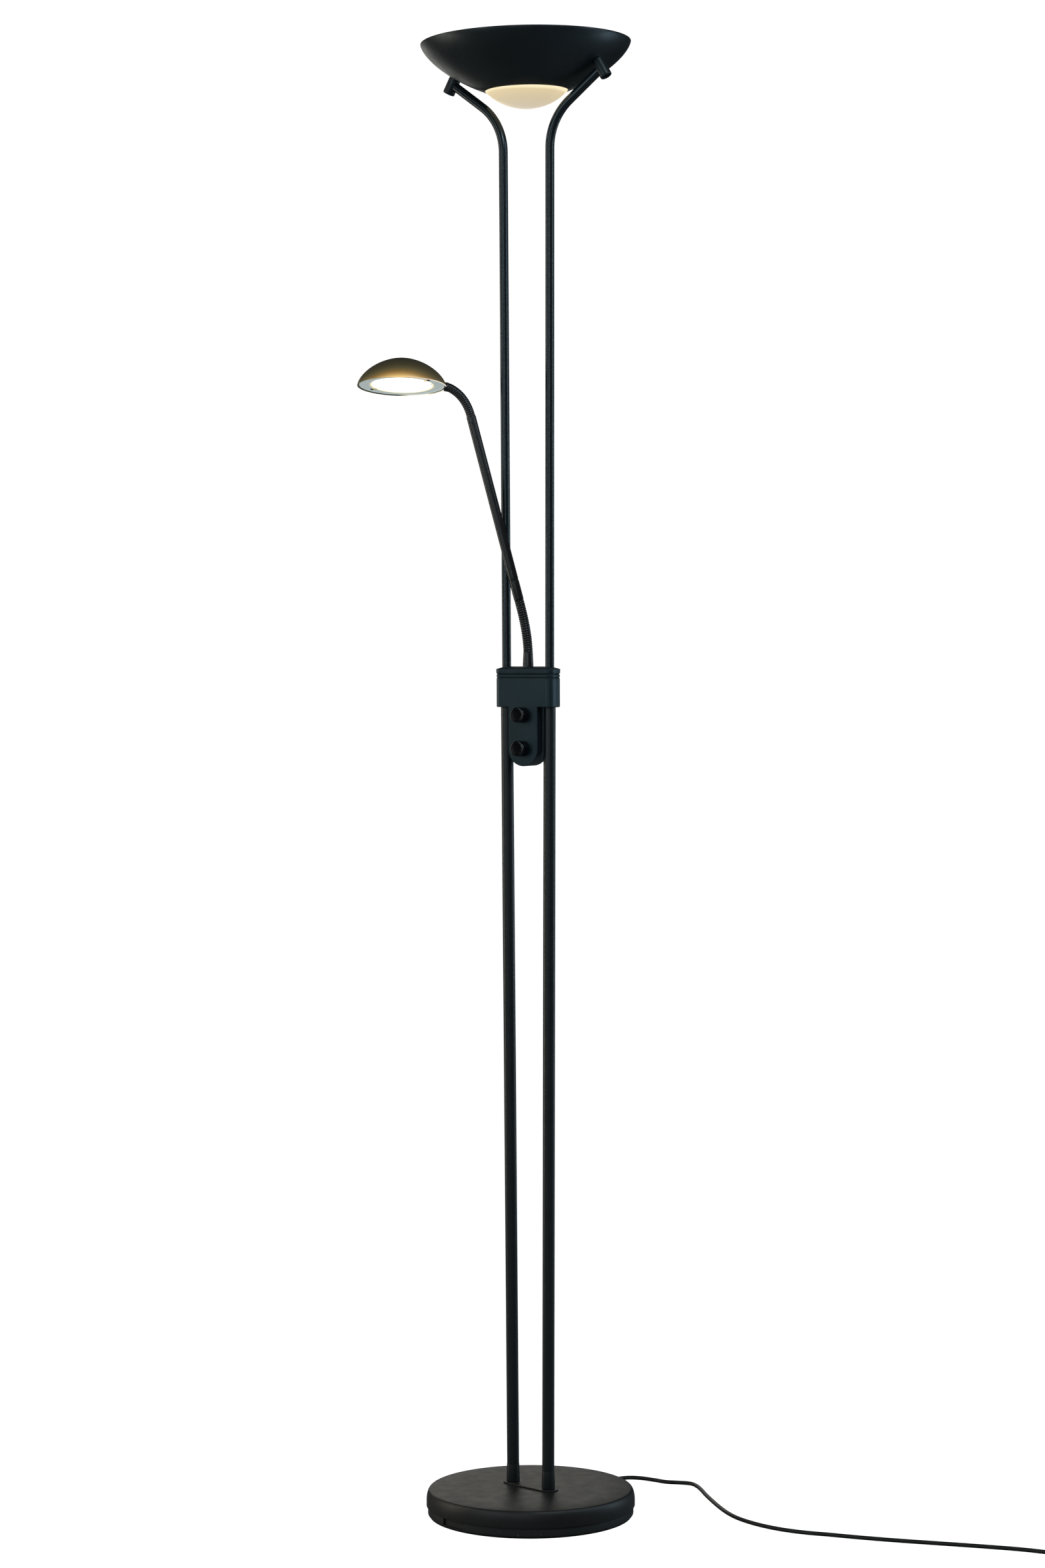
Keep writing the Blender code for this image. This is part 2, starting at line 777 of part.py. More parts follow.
def ball_line(radius, height, low):
    """The outside of a link's ball, from its neck up to the cable bore, around a given height."""
    reach = radius * BALL_SHARE
    start = -math.asin(low / reach)
    end = math.acos(CORE_R / reach)
    return [
        (
            reach * math.cos(start + (end - start) * i / 3),
            height + reach * math.sin(start + (end - start) * i / 3),
        )
        for i in range(4)
    ]


def link_profile(radius, length):
    """A neck link: a socket around the origin and a ball around the next hinge."""
    lip = 0.0002
    shoulder = radius * 0.40
    socket = socket_line(radius, NECK_CLEARANCE, lip)
    ball = ball_line(radius, length, shoulder)
    return (
        [(radius, lip)]
        + [(radius, length - shoulder - 0.0008)]
        + [(ball[0][0], length - shoulder - 0.0001)]
        + ball[1:]
        + socket[::-1]
    )


def build_neck(label, hinges, radius, spacing, looks):
    for number, (point, lean) in enumerate(hinges[:-1], start=1):
        turned(
            f"{label}_neck_link_{number}",
            link_profile(radius, spacing),
            looks["black"],
            12,
            lean_frame(point, lean),
        )


def build_arm(looks):
    """Socket on the box, lower neck, arm tube, upper neck and the collar on the head."""
    first = LOWER_FIRST.z
    shoulder = NECK_R * 0.40
    ball = ball_line(NECK_R, first, shoulder)
    turned(
        "arm_socket",
        [
            (CORE_R, BLOCK_TOP - 0.006),
            (0.0045, BLOCK_TOP - 0.006),
            (0.0045, BLOCK_TOP + GAP),
            (SOCKET_R, BLOCK_TOP + 2 * GAP),
            (SOCKET_R, BOX_TOP + 0.006),
            (SOCKET_TOP_R, BOX_TOP + SOCKET_H),
            (SOCKET_TOP_R, first - shoulder - 0.0008),
        ]
        + ball,
        looks["black"],
        16,
    )
    build_neck("lower", LOWER_HINGES, NECK_R, LOWER_SPACING, looks)
    build_neck("upper", UPPER_HINGES, UPPER_NECK_R, UPPER_SPACING, looks)

    tube_top = ARM_START + ARM_LENGTH
    next_ball = ball_line(UPPER_NECK_R, tube_top + ARM_PAST, UPPER_NECK_R * 0.40)
    bore = [
        (CORE_R, tube_top - 0.001),
        (ARM_R - 0.0012, tube_top - 0.004),
        (ARM_R - 0.0012, ARM_START + ARM_FERRULE_LENGTH),
        (CORE_R, ARM_START + 0.004),
    ]
    turned(
        "arm_tube",
        [
            (NECK_R, 0.0002),
            (NECK_R, ARM_START),
            (ARM_R, ARM_START + 0.0004),
            (ARM_R, ARM_START + ARM_FERRULE_LENGTH),
            (ARM_R - 0.0003, ARM_START + ARM_FERRULE_LENGTH + 0.001),
            (ARM_R - 0.0001, ARM_START + ARM_FERRULE_LENGTH + 0.004),
            (ARM_R - 0.0001, tube_top),
            (UPPER_NECK_R, tube_top + 0.0004),
            (UPPER_NECK_R, tube_top + ARM_PAST - UPPER_NECK_R * 0.40 - 0.0008),
        ]
        + next_ball
        + bore
        + socket_line(NECK_R, NECK_CLEARANCE, 0.0002)[::-1],
        looks["black"],
        16,
        lean_frame(*LOWER_HINGES[-1]),
    )
    collar = turned(
        "head_collar",
        [
            (UPPER_NECK_R, 0.0002),
            (UPPER_NECK_R, 0.0026),
            (COLLAR_R, 0.0030),
            (COLLAR_R, 0.0150),
            (CORE_R, 0.0150),
        ]
        + socket_line(UPPER_NECK_R, NECK_CLEARANCE, 0.0002)[::-1],
        looks["black"],
        14,
        lean_frame(*UPPER_HINGES[-1]),
    )
    fit = [(radius, height) for radius, height in head_profile(-GAP)]
    cut(collar, turned("collar_fit_cutter", [(0, -0.010), (fit[0][0], -0.010)] + fit, None, 48, head_place()))


# Reading head -------------------------------------------------------------------------------


def head_place():
    """The head's placement: local Z is the dome's axis, pointing away from the opening."""
    centre = OUT * HEAD_OUT + UP * HEAD_Z
    tilt = Matrix.Rotation(HEAD_TILT, 4, OUT)
    tip = Matrix.Rotation(HEAD_TIP, 4, SIDE)
    return Matrix.Translation(centre) @ tip @ tilt


def head_profile(shrink, steps=7):
    """The dome's line from its rim to its top."""
    radius = HEAD_R - shrink
    height = HEAD_H - shrink
    line = []
    for i in range(steps + 1):
        angle = math.pi / 2 * i / steps
        line.append((radius * math.cos(angle) ** 1.11, height * math.sin(angle) ** 1.28))
    line[-1] = (0, height)
    return line


def build_head(looks):
    place = head_place()
    inside = head_profile(HEAD_SHEET, 4)
    turned(
        "head_dome",
        head_profile(0) + [(0, HEAD_H - HEAD_SHEET)] + inside[::-1][1:],
        looks["black"],
        32,
        place,
    )
    ring_low = 0.0022
    ring_top = 0.0034
    turned(
        "head_ring",
        [
            (HEAD_WINDOW_R, ring_low + 0.0006),
            (HEAD_RING_R - 0.0012, ring_low),
            (HEAD_RING_R - 0.0004, ring_low - 0.0010),
            (HEAD_RING_R - 0.0002, ring_low + 0.0004),
            (HEAD_WINDOW_R, ring_top),
        ],
        looks["reflector"],
        36,
        place,
    )
    turned(
        "head_diffuser",
        [(0, 0.0038), (0.0400, 0.0038), (0.0400, 0.0058), (0, 0.0058)],
        looks["diffuser"],
        28,
        place,
    )
    turned(
        "head_led_board",
        [(0, 0.0100), (0.0400, 0.0100), (0.0400, 0.0116), (0, 0.0116)],
        looks["board"],
        24,
        place,
    )
    for number, angle in ((1, 177), (2, 348)):
        spot = Vector((math.cos(math.radians(angle)), math.sin(math.radians(angle)), 0)) * 0.0450
        place_here = place @ Matrix.Translation(spot)
        turned(
            f"head_screw_{number}",
            [
                (0, 0.0002),
                (0.0018, 0.0006),
                (0.0020, 0.0016),
                (0, 0.0016),
            ],
            looks["steel"],
            10,
            place_here,
        )


# Bowl ---------------------------------------------------------------------------------------


def bowl_place():
    """The bowl's placement, with its origin at the middle of the rim."""
    centre = Vector((0, 0, RIM_HEIGHT))
    pivot = Vector((0, 0, JOINT_Z - RIM_HEIGHT))
    tilt = Matrix.Rotation(BOWL_TILT, 4, "Y")
    return Matrix.Translation(centre + pivot) @ tilt @ Matrix.Translation(-pivot)


def bowl_line(radius, depth, hole, steps):
    """The bowl's wall from its rim down to its hole."""
    end = math.acos((hole / radius) ** (BOWL_POWER / 2))
    return [
        (
            radius * math.cos(end * i / steps) ** (2 / BOWL_POWER),
            -depth * math.sin(end * i / steps) ** (2 / BOWL_POWER),
        )
        for i in range(steps + 1)
    ]


def bowl_depth_inside(radius):
    """The height of the bowl's inner wall at a radius, below the rim."""
    share = (radius / (BOWL_R - BOWL_SHEET)) ** BOWL_POWER
    return -(BOWL_DEPTH - BOWL_SHEET) * (1 - share) ** (1 / BOWL_POWER)


def build_bowl(looks):
    place = bowl_place()
    outer = bowl_line(BOWL_R, BOWL_DEPTH, BOWL_HOLE_R, 9)
    inner = bowl_line(BOWL_R - BOWL_SHEET, BOWL_DEPTH - BOWL_SHEET, BOWL_HOLE_R, 6)
    bowl = turned("bowl", outer + inner[::-1], looks["black"], 36, place)

    flange_low = bowl_depth_inside(GLASS_FLANGE_R) + 0.0008
    flange_high = flange_low + GLASS_WALL
    hole_z = outer[-1][1]
    sphere_r = (GLASS_R**2 + GLASS_DROP**2) / (2 * GLASS_DROP)
    centre_z = hole_z - GLASS_DROP + sphere_r
    half = math.asin(GLASS_R / sphere_r)
    cap = [
        (sphere_r * math.sin(half * i / 5), centre_z - sphere_r * math.cos(half * i / 5)) for i in range(6)
    ]
    inside_r = sphere_r - GLASS_WALL
    inside_half = math.asin((GLASS_R - GLASS_WALL) / inside_r)
    inside_cap = [
        (inside_r * math.sin(inside_half * i / 3), centre_z - inside_r * math.cos(inside_half * i / 3))
        for i in range(4)
    ]
    turned(
        "bowl_glass",
        cap
        + [(GLASS_R, flange_low), (GLASS_FLANGE_R, flange_low), (GLASS_FLANGE_R, flange_high)]
        + [(GLASS_R - GLASS_WALL, flange_high)]
        + inside_cap[::-1],
        looks["glass"],
        32,
        place,
    )
    plate_low = bowl_depth_inside(LED_PLATE_R) + 0.0006
    plate_high = plate_low + LED_PLATE_H
    board_low = plate_high + GAP
    board_high = board_low + LED_BOARD_H
    turned(
        "led_plate",
        [(0, plate_low), (LED_PLATE_R, plate_low), (LED_PLATE_R, plate_high), (0, plate_high)],
        looks["aluminium"],
        32,
        place,
    )
    turned(
        "led_board",
        [(0, board_low), (LED_BOARD_R, board_low), (LED_BOARD_R, board_high), (0, board_high)],
        looks["board"],
        28,
        place,
    )
    cover_low = bowl_depth_inside(TOP_COVER_R) + 0.0008
    under = [
        (TOP_COVER_R * (1 - i / 3), cover_low + TOP_COVER_CROWN * (1 - (1 - i / 3) ** 2))
        for i in range(1, 4)
    ]
    over = [(radius, height + TOP_COVER_SHEET) for radius, height in under]
    turned(
        "top_diffuser",
        [(0, under[-1][1])]
        + under[:-1][::-1]
        + [(TOP_COVER_R, cover_low), (TOP_COVER_R, cover_low + TOP_COVER_SHEET)]
        + over[:-1]
        + [(0, over[-1][1])],
        looks["diffuser"],
        32,
        place,
    )
    for side, label in ((-1, "left"), (1, "right")):
        build_bowl_joint(side, label, bowl, place, looks)


def build_bowl_joint(side, label, bowl, place, looks):
    """A round joint under the bowl that takes the pole's end in its side, with its screw."""
    along = Vector((side * math.cos(JOINT_SLOPE), 0, -math.sin(JOINT_SLOPE)))
    centre = Vector((side * JOINT_OUT, 0, JOINT_Z - RIM_HEIGHT))
    start = centre - along * (JOINT_LENGTH / 2)
    here = place @ facing(start, along)
    joint = turned(
        f"bowl_joint_{label}",
        [
            (0.0024, 0.0),
            (JOINT_R, 0.0),
            (JOINT_R, JOINT_LENGTH - 0.0010),
            (JOINT_R - 0.0010, JOINT_LENGTH),
            (0.0050, JOINT_LENGTH),
            (0.0050, JOINT_LENGTH - 0.0030),
            (0.0024, JOINT_LENGTH - 0.0030),
        ],
        looks["black"],
        20,
        here,
    )
    path = upper_path(side)
    pole_along = (path[-1] - path[-2]).normalized()
    cut(
        joint,
        cylinder(
            f"pole_entry_{label}_cutter",
            UPPER_POLE_R + GAP,
            path[-1] - pole_along * 0.012,
            path[-1] + pole_along * GAP,
        ),
        bowl_fit_cutter(f"bowl_fit_{label}_cutter", place),
    )
    turned(
        f"bowl_screw_{label}",
        [
            (0, -0.0028),
            (0.0040, -0.0028),
            (0.0040, -0.0008),
            (0.0020, -0.0008),
            (0.0020, JOINT_LENGTH - 0.0032),
            (0, JOINT_LENGTH - 0.0032),
        ],
        looks["steel"],
        12,
        here,
    )
    cut(
        bowl,
        cylinder(
            f"screw_hole_{label}_cutter",
            0.0024,
            here @ Vector((0, 0, -0.02)),
            here @ Vector((0, 0, 0.01)),
            steps=10,
        ),
    )


def bowl_fit_cutter(name, place):
    """The bowl's outer form, grown by a gap, that trims the joints' tops."""
    line = bowl_line(BOWL_R + GAP, BOWL_DEPTH + GAP * 2, BOWL_HOLE_R, 10)
    return turned(name, [(0, 0)] + line + [(0, line[-1][1])], None, 40, place)


# Mains lead ---------------------------------------------------------------------------------


def smooth_points(route, spacing):
    """Points about spacing apart on a smooth curve through the route's own points."""
    points = [Vector(p) for p in route]
    points = [2 * points[0] - points[1], *points, 2 * points[-1] - points[-2]]
    made = []
    for before, start, end, after in zip(points, points[1:], points[2:], points[3:]):
        count = max(2, round((end - start).length / spacing))
        for i in range(count):
            t = i / count
            made.append(
                0.5
                * (
                    2 * start
                    + (end - before) * t
                    + (2 * before - 5 * start + 4 * end - after) * t**2
                    + (3 * start - before - 3 * end + after) * t**3
                )
            )
    made.append(points[-2])
    return made


def build_lead(looks):
    """Strain relief, the lead on the floor, its coil and the plug."""
    turned(
        "lead_strain_relief",
        [
            (0, -0.0060),
            (0.0042, -0.0060),
            (0.0042, -0.0024),
            (0.0033, -0.0022),
            (0.0033, 0.0003),
            (0.0046, 0.0004),
            (0.0046, 0.0030),
            (0.0042, 0.0040),
            (0.0031, RELIEF_LENGTH),
            (0, RELIEF_LENGTH),
        ],
        looks["rubber"],
        16,
        facing((0, TRAY_R, LEAD_EXIT_Z), (0, 1, 0)),
    )
    line = bpy.data.curves.new("mains_lead", "CURVE")
    line.dimensions = "3D"
    line.bevel_depth = LEAD_D / 2
    line.bevel_resolution = 2
    line.use_fill_caps = True
    points = smooth_points(LEAD_ROUTE, 0.0125)
    spline = line.splines.new("POLY")
    spline.points.add(len(points) - 1)
    for target, point in zip(spline.points, points):
        target.co = (*point, 1)
    lead = bpy.data.objects.new("mains_lead", line)
    line.materials.append(looks["rubber"])
    bpy.context.collection.objects.link(lead)

    inner = COIL_MID_R - COIL_WIDTH / 2
    outer = COIL_MID_R + COIL_WIDTH / 2
    turned(
        "lead_coil",
        [
            (inner + 0.0025, 0.0001),
            (outer - 0.0025, 0.0001),
            (outer, 0.0026),
            (outer, COIL_H - 0.0025),
            (outer - 0.0025, COIL_H),
            (inner + 0.0025, COIL_H),
            (inner, COIL_H - 0.0025),
            (inner, 0.0026),
        ],
        looks["rubber"],
        24,
        Matrix.Translation((*COIL_CENTRE, 0)),
    )
    build_plug(looks)


def build_plug(looks):
    """A flat two-pin plug that lies beside the coil, its tail against the outer turn."""
    heading = math.radians(PLUG_HEADING)
    along = Vector((math.cos(heading), math.sin(heading), 0))
    across = Vector((-along.y, along.x, 0))
    turn_r = COIL_MID_R + COIL_WIDTH / 2 - LEAD_D / 2
    tail = Vector((*COIL_CENTRE, 0)) - across * turn_r + along * PLUG_TAIL_AT
    place = Matrix.Translation(tail) @ Matrix.Rotation(heading, 4, "Z")
    outline = [
        (0.020, 0.0055),
        (0.020, -0.0055),
        (0.028, -0.0125),
        (0.042, -0.0175),
        (0.055, -0.0160),
        (0.055, 0.0160),
        (0.042, 0.0175),
        (0.028, 0.0125),
    ]
    body = extruded("plug", outline, 0.0136, looks["rubber"], place @ Matrix.Translation((0, 0, 0.0001)))
    edge = body.modifiers.new("edge", "BEVEL")
    edge.width = 0.0018
    edge.segments = 2
    edge.limit_method = "ANGLE"
    middle = 0.0068
    relief = turned(
        "plug_relief_guide",
        [(0, 0), (0.0031, 0), (0.0048, 0.0225), (0, 0.0225)],
        None,
        12,
        place @ facing((0, 0, middle), (1, 0, 0)),
    )
    combine(body, relief, "UNION")
    for side in (-1, 1):
        pin = cylinder(
            f"pin_{'left' if side < 0 else 'right'}_guide",
            0.0020,
            place @ Vector((0.050, side * 0.0093, middle)),
            place @ Vector((0.074, side * 0.0089, middle)),
            steps=12,
        )
        combine(body, pin, "UNION")


def build_all():
    clear_scene()
    looks = {
        "black": make_material("satin_black", (0.012, 0.015, 0.018), 0.42),
        "tray": make_material("tray_black", (0.022, 0.022, 0.021), 0.6),
        "foam": make_material("foam_black", (0.010, 0.010, 0.010), 0.95),
        "iron": make_material("cast_iron", (0.10, 0.10, 0.10), 0.7, 0.6),
        "zinc": make_material("zinc", (0.55, 0.56, 0.58), 0.35, 1.0),
        "steel": make_material("steel", (0.6, 0.6, 0.6), 0.3, 1.0),
        "aluminium": make_material("aluminium", (0.75, 0.75, 0.76), 0.4, 1.0),
        "board": make_material("circuit_board", (0.75, 0.76, 0.74), 0.5),
        "pot": make_material("pot_housing", (0.05, 0.12, 0.25), 0.5),
        "knob": make_material("gloss_black", (0.006, 0.008, 0.010), 0.18),
        "white_plastic": make_material("white_plastic", (0.8, 0.8, 0.78), 0.5),
        "reflector": make_material("reflector_grey", (0.55, 0.60, 0.60), 0.45),
        "diffuser": make_material("opal_plastic", (0.95, 0.93, 0.88), 0.5),
        "glass": make_material("frosted_glass", (0.85, 0.78, 0.62), 0.5),
        "rubber": make_material("black_pvc", (0.012, 0.012, 0.012), 0.5),
    }
    build_base(looks)
    build_poles(looks)
    build_box(looks)
    build_arm(looks)
    build_head(looks)
    build_bowl(looks)
    build_lead(looks)


build_all()
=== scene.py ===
"""Looks for the torchiere floor lamp: fine meshes, procedural materials, studio light and camera.

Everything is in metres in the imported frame: +Z is up, the origin is the middle of the base on the
floor, and the knobs face -Y.
"""

import json
import math

import bmesh
import bpy
from mathutils import Matrix, Vector

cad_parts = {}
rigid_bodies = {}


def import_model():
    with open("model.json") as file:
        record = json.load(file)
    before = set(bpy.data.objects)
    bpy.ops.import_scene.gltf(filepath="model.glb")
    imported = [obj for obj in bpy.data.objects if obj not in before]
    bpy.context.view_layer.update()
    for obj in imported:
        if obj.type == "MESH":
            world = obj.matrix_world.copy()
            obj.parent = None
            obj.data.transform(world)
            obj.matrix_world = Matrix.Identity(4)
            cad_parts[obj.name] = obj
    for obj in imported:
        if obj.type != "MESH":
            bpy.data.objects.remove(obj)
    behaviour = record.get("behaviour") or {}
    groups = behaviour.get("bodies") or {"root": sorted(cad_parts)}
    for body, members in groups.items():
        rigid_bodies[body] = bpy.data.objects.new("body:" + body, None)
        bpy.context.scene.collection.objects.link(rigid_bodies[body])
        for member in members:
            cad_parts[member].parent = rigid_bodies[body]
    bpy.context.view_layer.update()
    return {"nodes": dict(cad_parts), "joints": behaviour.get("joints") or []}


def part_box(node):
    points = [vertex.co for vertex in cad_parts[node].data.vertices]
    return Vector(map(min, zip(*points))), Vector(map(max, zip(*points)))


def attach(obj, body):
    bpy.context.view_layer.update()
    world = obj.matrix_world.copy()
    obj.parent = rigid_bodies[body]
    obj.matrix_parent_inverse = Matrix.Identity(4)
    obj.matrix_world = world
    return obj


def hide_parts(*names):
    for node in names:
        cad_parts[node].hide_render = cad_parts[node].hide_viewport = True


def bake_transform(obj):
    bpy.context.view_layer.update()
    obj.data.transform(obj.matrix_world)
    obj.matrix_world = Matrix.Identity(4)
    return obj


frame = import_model()
nodes = frame["nodes"]
joints = {joint["name"]: joint for joint in frame["joints"]}

UP = Vector((0, 0, 1))
ARM_HEADING = math.radians(211)  # the way the reading arm leans, seen from above
OUT = Vector((math.cos(ARM_HEADING), math.sin(ARM_HEADING), 0))
SIDE = UP.cross(OUT)
BOTH_SIDES = ((-1, "left"), (1, "right"))

# Sizes taken from the frame
SOLE_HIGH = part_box("base_sole")[1]
TRAY_LOW, TRAY_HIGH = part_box("base_tray")
COVER_LOW, COVER_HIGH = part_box("base_cover")
PLATE_LOW, PLATE_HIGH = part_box("foot_plate")
COLLAR_LOW, COLLAR_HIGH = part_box("foot_collar_right")
BOX_LOW, BOX_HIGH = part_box("box_rear")
SOCKET_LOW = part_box("arm_socket")[0]
BASE_R = COVER_HIGH.x
TRAY_R = TRAY_HIGH.x
BASE_H = COVER_HIGH.z

# Tray
TRAY_SHEET = 0.0050
NOTCH_ANGLE = math.radians(-107.7)
NOTCH_Z = 0.0129
NOTCH_SIZE = (0.0076, 0.037, 0.018)
RECESS_TURN = 0.4  # how far a screw's cross is turned, in radians

# Poles
POLE_SPACING = 0.061
POLE_SPACING_TOP = 0.0662
LOWER_POLE_R = 0.00745
UPPER_POLE_R = 0.00550
FOOT_TURN = math.radians(-14)
UPPER_BEND_Z = 1.7057
UPPER_BEND_R = 0.070

# Control box
BOX_W = BOX_HIGH.x - BOX_LOW.x - 0.001
BOX_D = 0.027
BOX_CORNER_R = 0.008
BOX_TOP = BOX_HIGH.z
BOX_BOTTOM = 0.9948
BOX_WALL = 0.0018
SEAM_Y = -0.0015
TONGUE_W = 0.041
TONGUE_CENTRE_Z = 0.9434

# Reading arm and head
NECK_R = 0.0054
UPPER_NECK_R = 0.0050
ARM_R = 0.0059
ARM_START = 0.0090
ARM_LENGTH = 0.2309
FERRULE_LENGTH = 0.023
HEAD_R = 0.0544
HEAD_H = 0.0345
HEAD_SHEET = 0.0012
HEAD_OUT = 0.1527
HEAD_Z = 1.3857
HEAD_TILT = math.radians(8.6)
HEAD_TIP = math.radians(-1.0)
ACROSS = (0.857, 0.515, 0)  # on the head: towards the poles
TOWARDS = (0.515, -0.857, 0)  # on the head: towards the front
PAINTED_GLOW_HALF_W = 0.028  # how far the painted warm glow of the lit window spreads across the dome
PAINTED_GLOW_FALLOFF = -7.5  # how that light fades over the dome's height
PAINTED_GLOW_STRENGTH = 0.95
RING_R = 0.0519
RING_PAINTED_GLOW_SHIFT = (-0.0015, 0.0026, 0)  # middle of the painted warm glow on the ring
RING_PAINTED_GLOW_LONG = (-0.463, 0.771, 0)  # along this the painted glow reaches a little further
WINDOW_R = 0.0364
CLIP_ANGLES = (177, 348)
CLIP_OUT = 0.0408
CLIP_SIZE = (0.0075, 0.0030, 0.0005)

# Bowl
RIM_HEIGHT = 1.800
BOWL_R = 0.1278
BOWL_DEPTH = 0.0700
BOWL_POWER = 1.5
BOWL_SHEET = 0.0013
BOWL_HOLE_R = 0.0505
BOWL_TILT = math.radians(-1.1)
GLASS_R = 0.0499
GLASS_DROP = 0.0212
GLASS_WALL = 0.0025
FLANGE_R = 0.0550
UPLIGHT_R = 0.0900
UPLIGHT_CROWN = 0.004
UPLIGHT_SHEET = 0.0020
REST_GAP = 0.0008  # between the bowl's sheet and what rests on it
JOINT_OUT = 0.1055
JOINT_Z = 1.760
JOINT_R = 0.0073
JOINT_LENGTH = 0.025
JOINT_SLOPE = math.radians(60)

# Mains lead
LEAD_D = 0.0050
LEAD_EXIT = (0, TRAY_R + 0.030, 0.0078)
COIL_CENTRE = Vector((0.6703, 0.1695, 0))
COIL_RADII = (0.0325, 0.0275, 0.0225)
TIE_ANGLE = math.radians(-35)  # where the tie goes round the coil, from +X
TIE_Z = 0.0055
TIE_HALF_W = 0.0082
TIE_HALF_H = 0.0048
LAYER_HEIGHTS = (0.0026, 0.0075)
COIL_TURNS = 5 + 100 / 360
TURN_STEPS = 36
PLUG_HEADING = math.radians(100)
PLUG_TAIL_AT = 0.0198
PLUG_Z = 0.0069
PLUG_OUTLINE = (
    (0.020, 0.0055, 0.0010),
    (0.020, -0.0055, 0.0010),
    (0.028, -0.0125, 0.0060),
    (0.042, -0.0172, 0.0080),
    (0.0548, -0.0158, 0.0030),
    (0.0548, 0.0158, 0.0030),
    (0.042, 0.0172, 0.0080),
    (0.028, 0.0125, 0.0060),
)
GRIP_START = 0.0345
GRIP_PITCH = 0.0034
GRIP_OUT = 0.0178
LEAD_ROUTE = (
    (0.0000, 0.1530, 0.0078),
    (0.0000, 0.1570, 0.0078),
    (0.0002, 0.1720, 0.0066),
    (0.0006, 0.1900, 0.0033),
    (0.0034, 0.2090, 0.0026),
    (0.0125, 0.2230, 0.0026),
    (0.0280, 0.2285, 0.0026),
    (0.0480, 0.2280, 0.0026),
    (0.0660, 0.2262, 0.0026),
    (0.0820, 0.2310, 0.0026),
    (0.0975, 0.2340, 0.0026),
    (0.1115, 0.2250, 0.0026),
    (0.1270, 0.2085, 0.0026),
    (0.1470, 0.1850, 0.0026),
    (0.1830, 0.1460, 0.0026),
    (0.2120, 0.1180, 0.0026),
    (0.2390, 0.0985, 0.0026),
    (0.2730, 0.0838, 0.0026),
    (0.3070, 0.0768, 0.0026),
    (0.3380, 0.0772, 0.0026),
    (0.3680, 0.0825, 0.0026),
    (0.4060, 0.0885, 0.0026),
    (0.4500, 0.0975, 0.0026),
    (0.5000, 0.1100, 0.0026),
    (0.5500, 0.1225, 0.0026),
    (0.5980, 0.1325, 0.0026),
    (0.6480, 0.1365, 0.0026),
)

# Studio
FLOOR_GLOW = 1.0
SURROUND = 0.04
MIDDLE = (0, 0, 0.95)
STUDIO_LIGHTS = (
    ("key_light", -106, 3.2, 1.7, (1.0, 2.2), 16, (0.84, 0.96, 1.0)),
    ("left_light", -158, 2.6, 1.1, (0.5, 2.4), 18, (1.0, 0.93, 0.80)),
    ("near_light", -68, 4.2, 1.7, (0.25, 1.6), 12, (0.86, 0.95, 1.0)),
    ("top_light", -30, 2.2, 3.0, (0.8, 0.8), 22, (0.84, 0.93, 1.0)),
    ("right_high_light", 17, 2.6, 2.0, (0.25, 1.4), 13, (0.70, 0.88, 1.0)),
    ("right_low_light", 46, 2.6, 0.8, (0.25, 1.3), 9, (0.66, 0.86, 1.0)),
    ("back_light", 134, 3.4, 1.3, (2.4, 1.4), 11, (1.0, 0.98, 0.90)),
)

# Satin black coats: material name, dark and light tone, roughness range, fineness of the grain, depth of
# the grain, depth of the orange peel, tint of the shine
COATED_LOOKS = {
    "black": ("satin_black", (0.0035, 0.0060, 0.0080), (0.0075, 0.0115, 0.0140), (0.36, 0.46), 1.0,
              0.00003, 0.00002, (0.80, 0.94, 1.0)),
    "pole": ("pole_black", (0.0080, 0.0105, 0.0115), (0.0115, 0.0145, 0.0160), (0.32, 0.40), 1.0,
             0.000008, 0.000002, (0.90, 0.97, 1.0)),
    "base": ("base_black", (0.0060, 0.0060, 0.0056), (0.0120, 0.0120, 0.0112), (0.44, 0.52), 1.0,
             0.00002, 0.000004, (1, 1, 1)),
    "box": ("shell_black", (0.0080, 0.0150, 0.0200), (0.0130, 0.0215, 0.0275), (0.36, 0.44), 0.8,
            0.00004, 0.00002, (0.62, 0.90, 1.0)),
    "upper_pole": ("upper_pole_black", (0.0060, 0.0095, 0.0120), (0.0090, 0.0130, 0.0160), (0.22, 0.28), 1.0,
                   0.000003, 0.000001, (0.78, 0.93, 1.0)),
    "neck": ("neck_black", (0.008, 0.009, 0.010), (0.015, 0.016, 0.017), (0.24, 0.32), 1.0,
             0.000006, 0.000002, (1, 1, 1)),
}
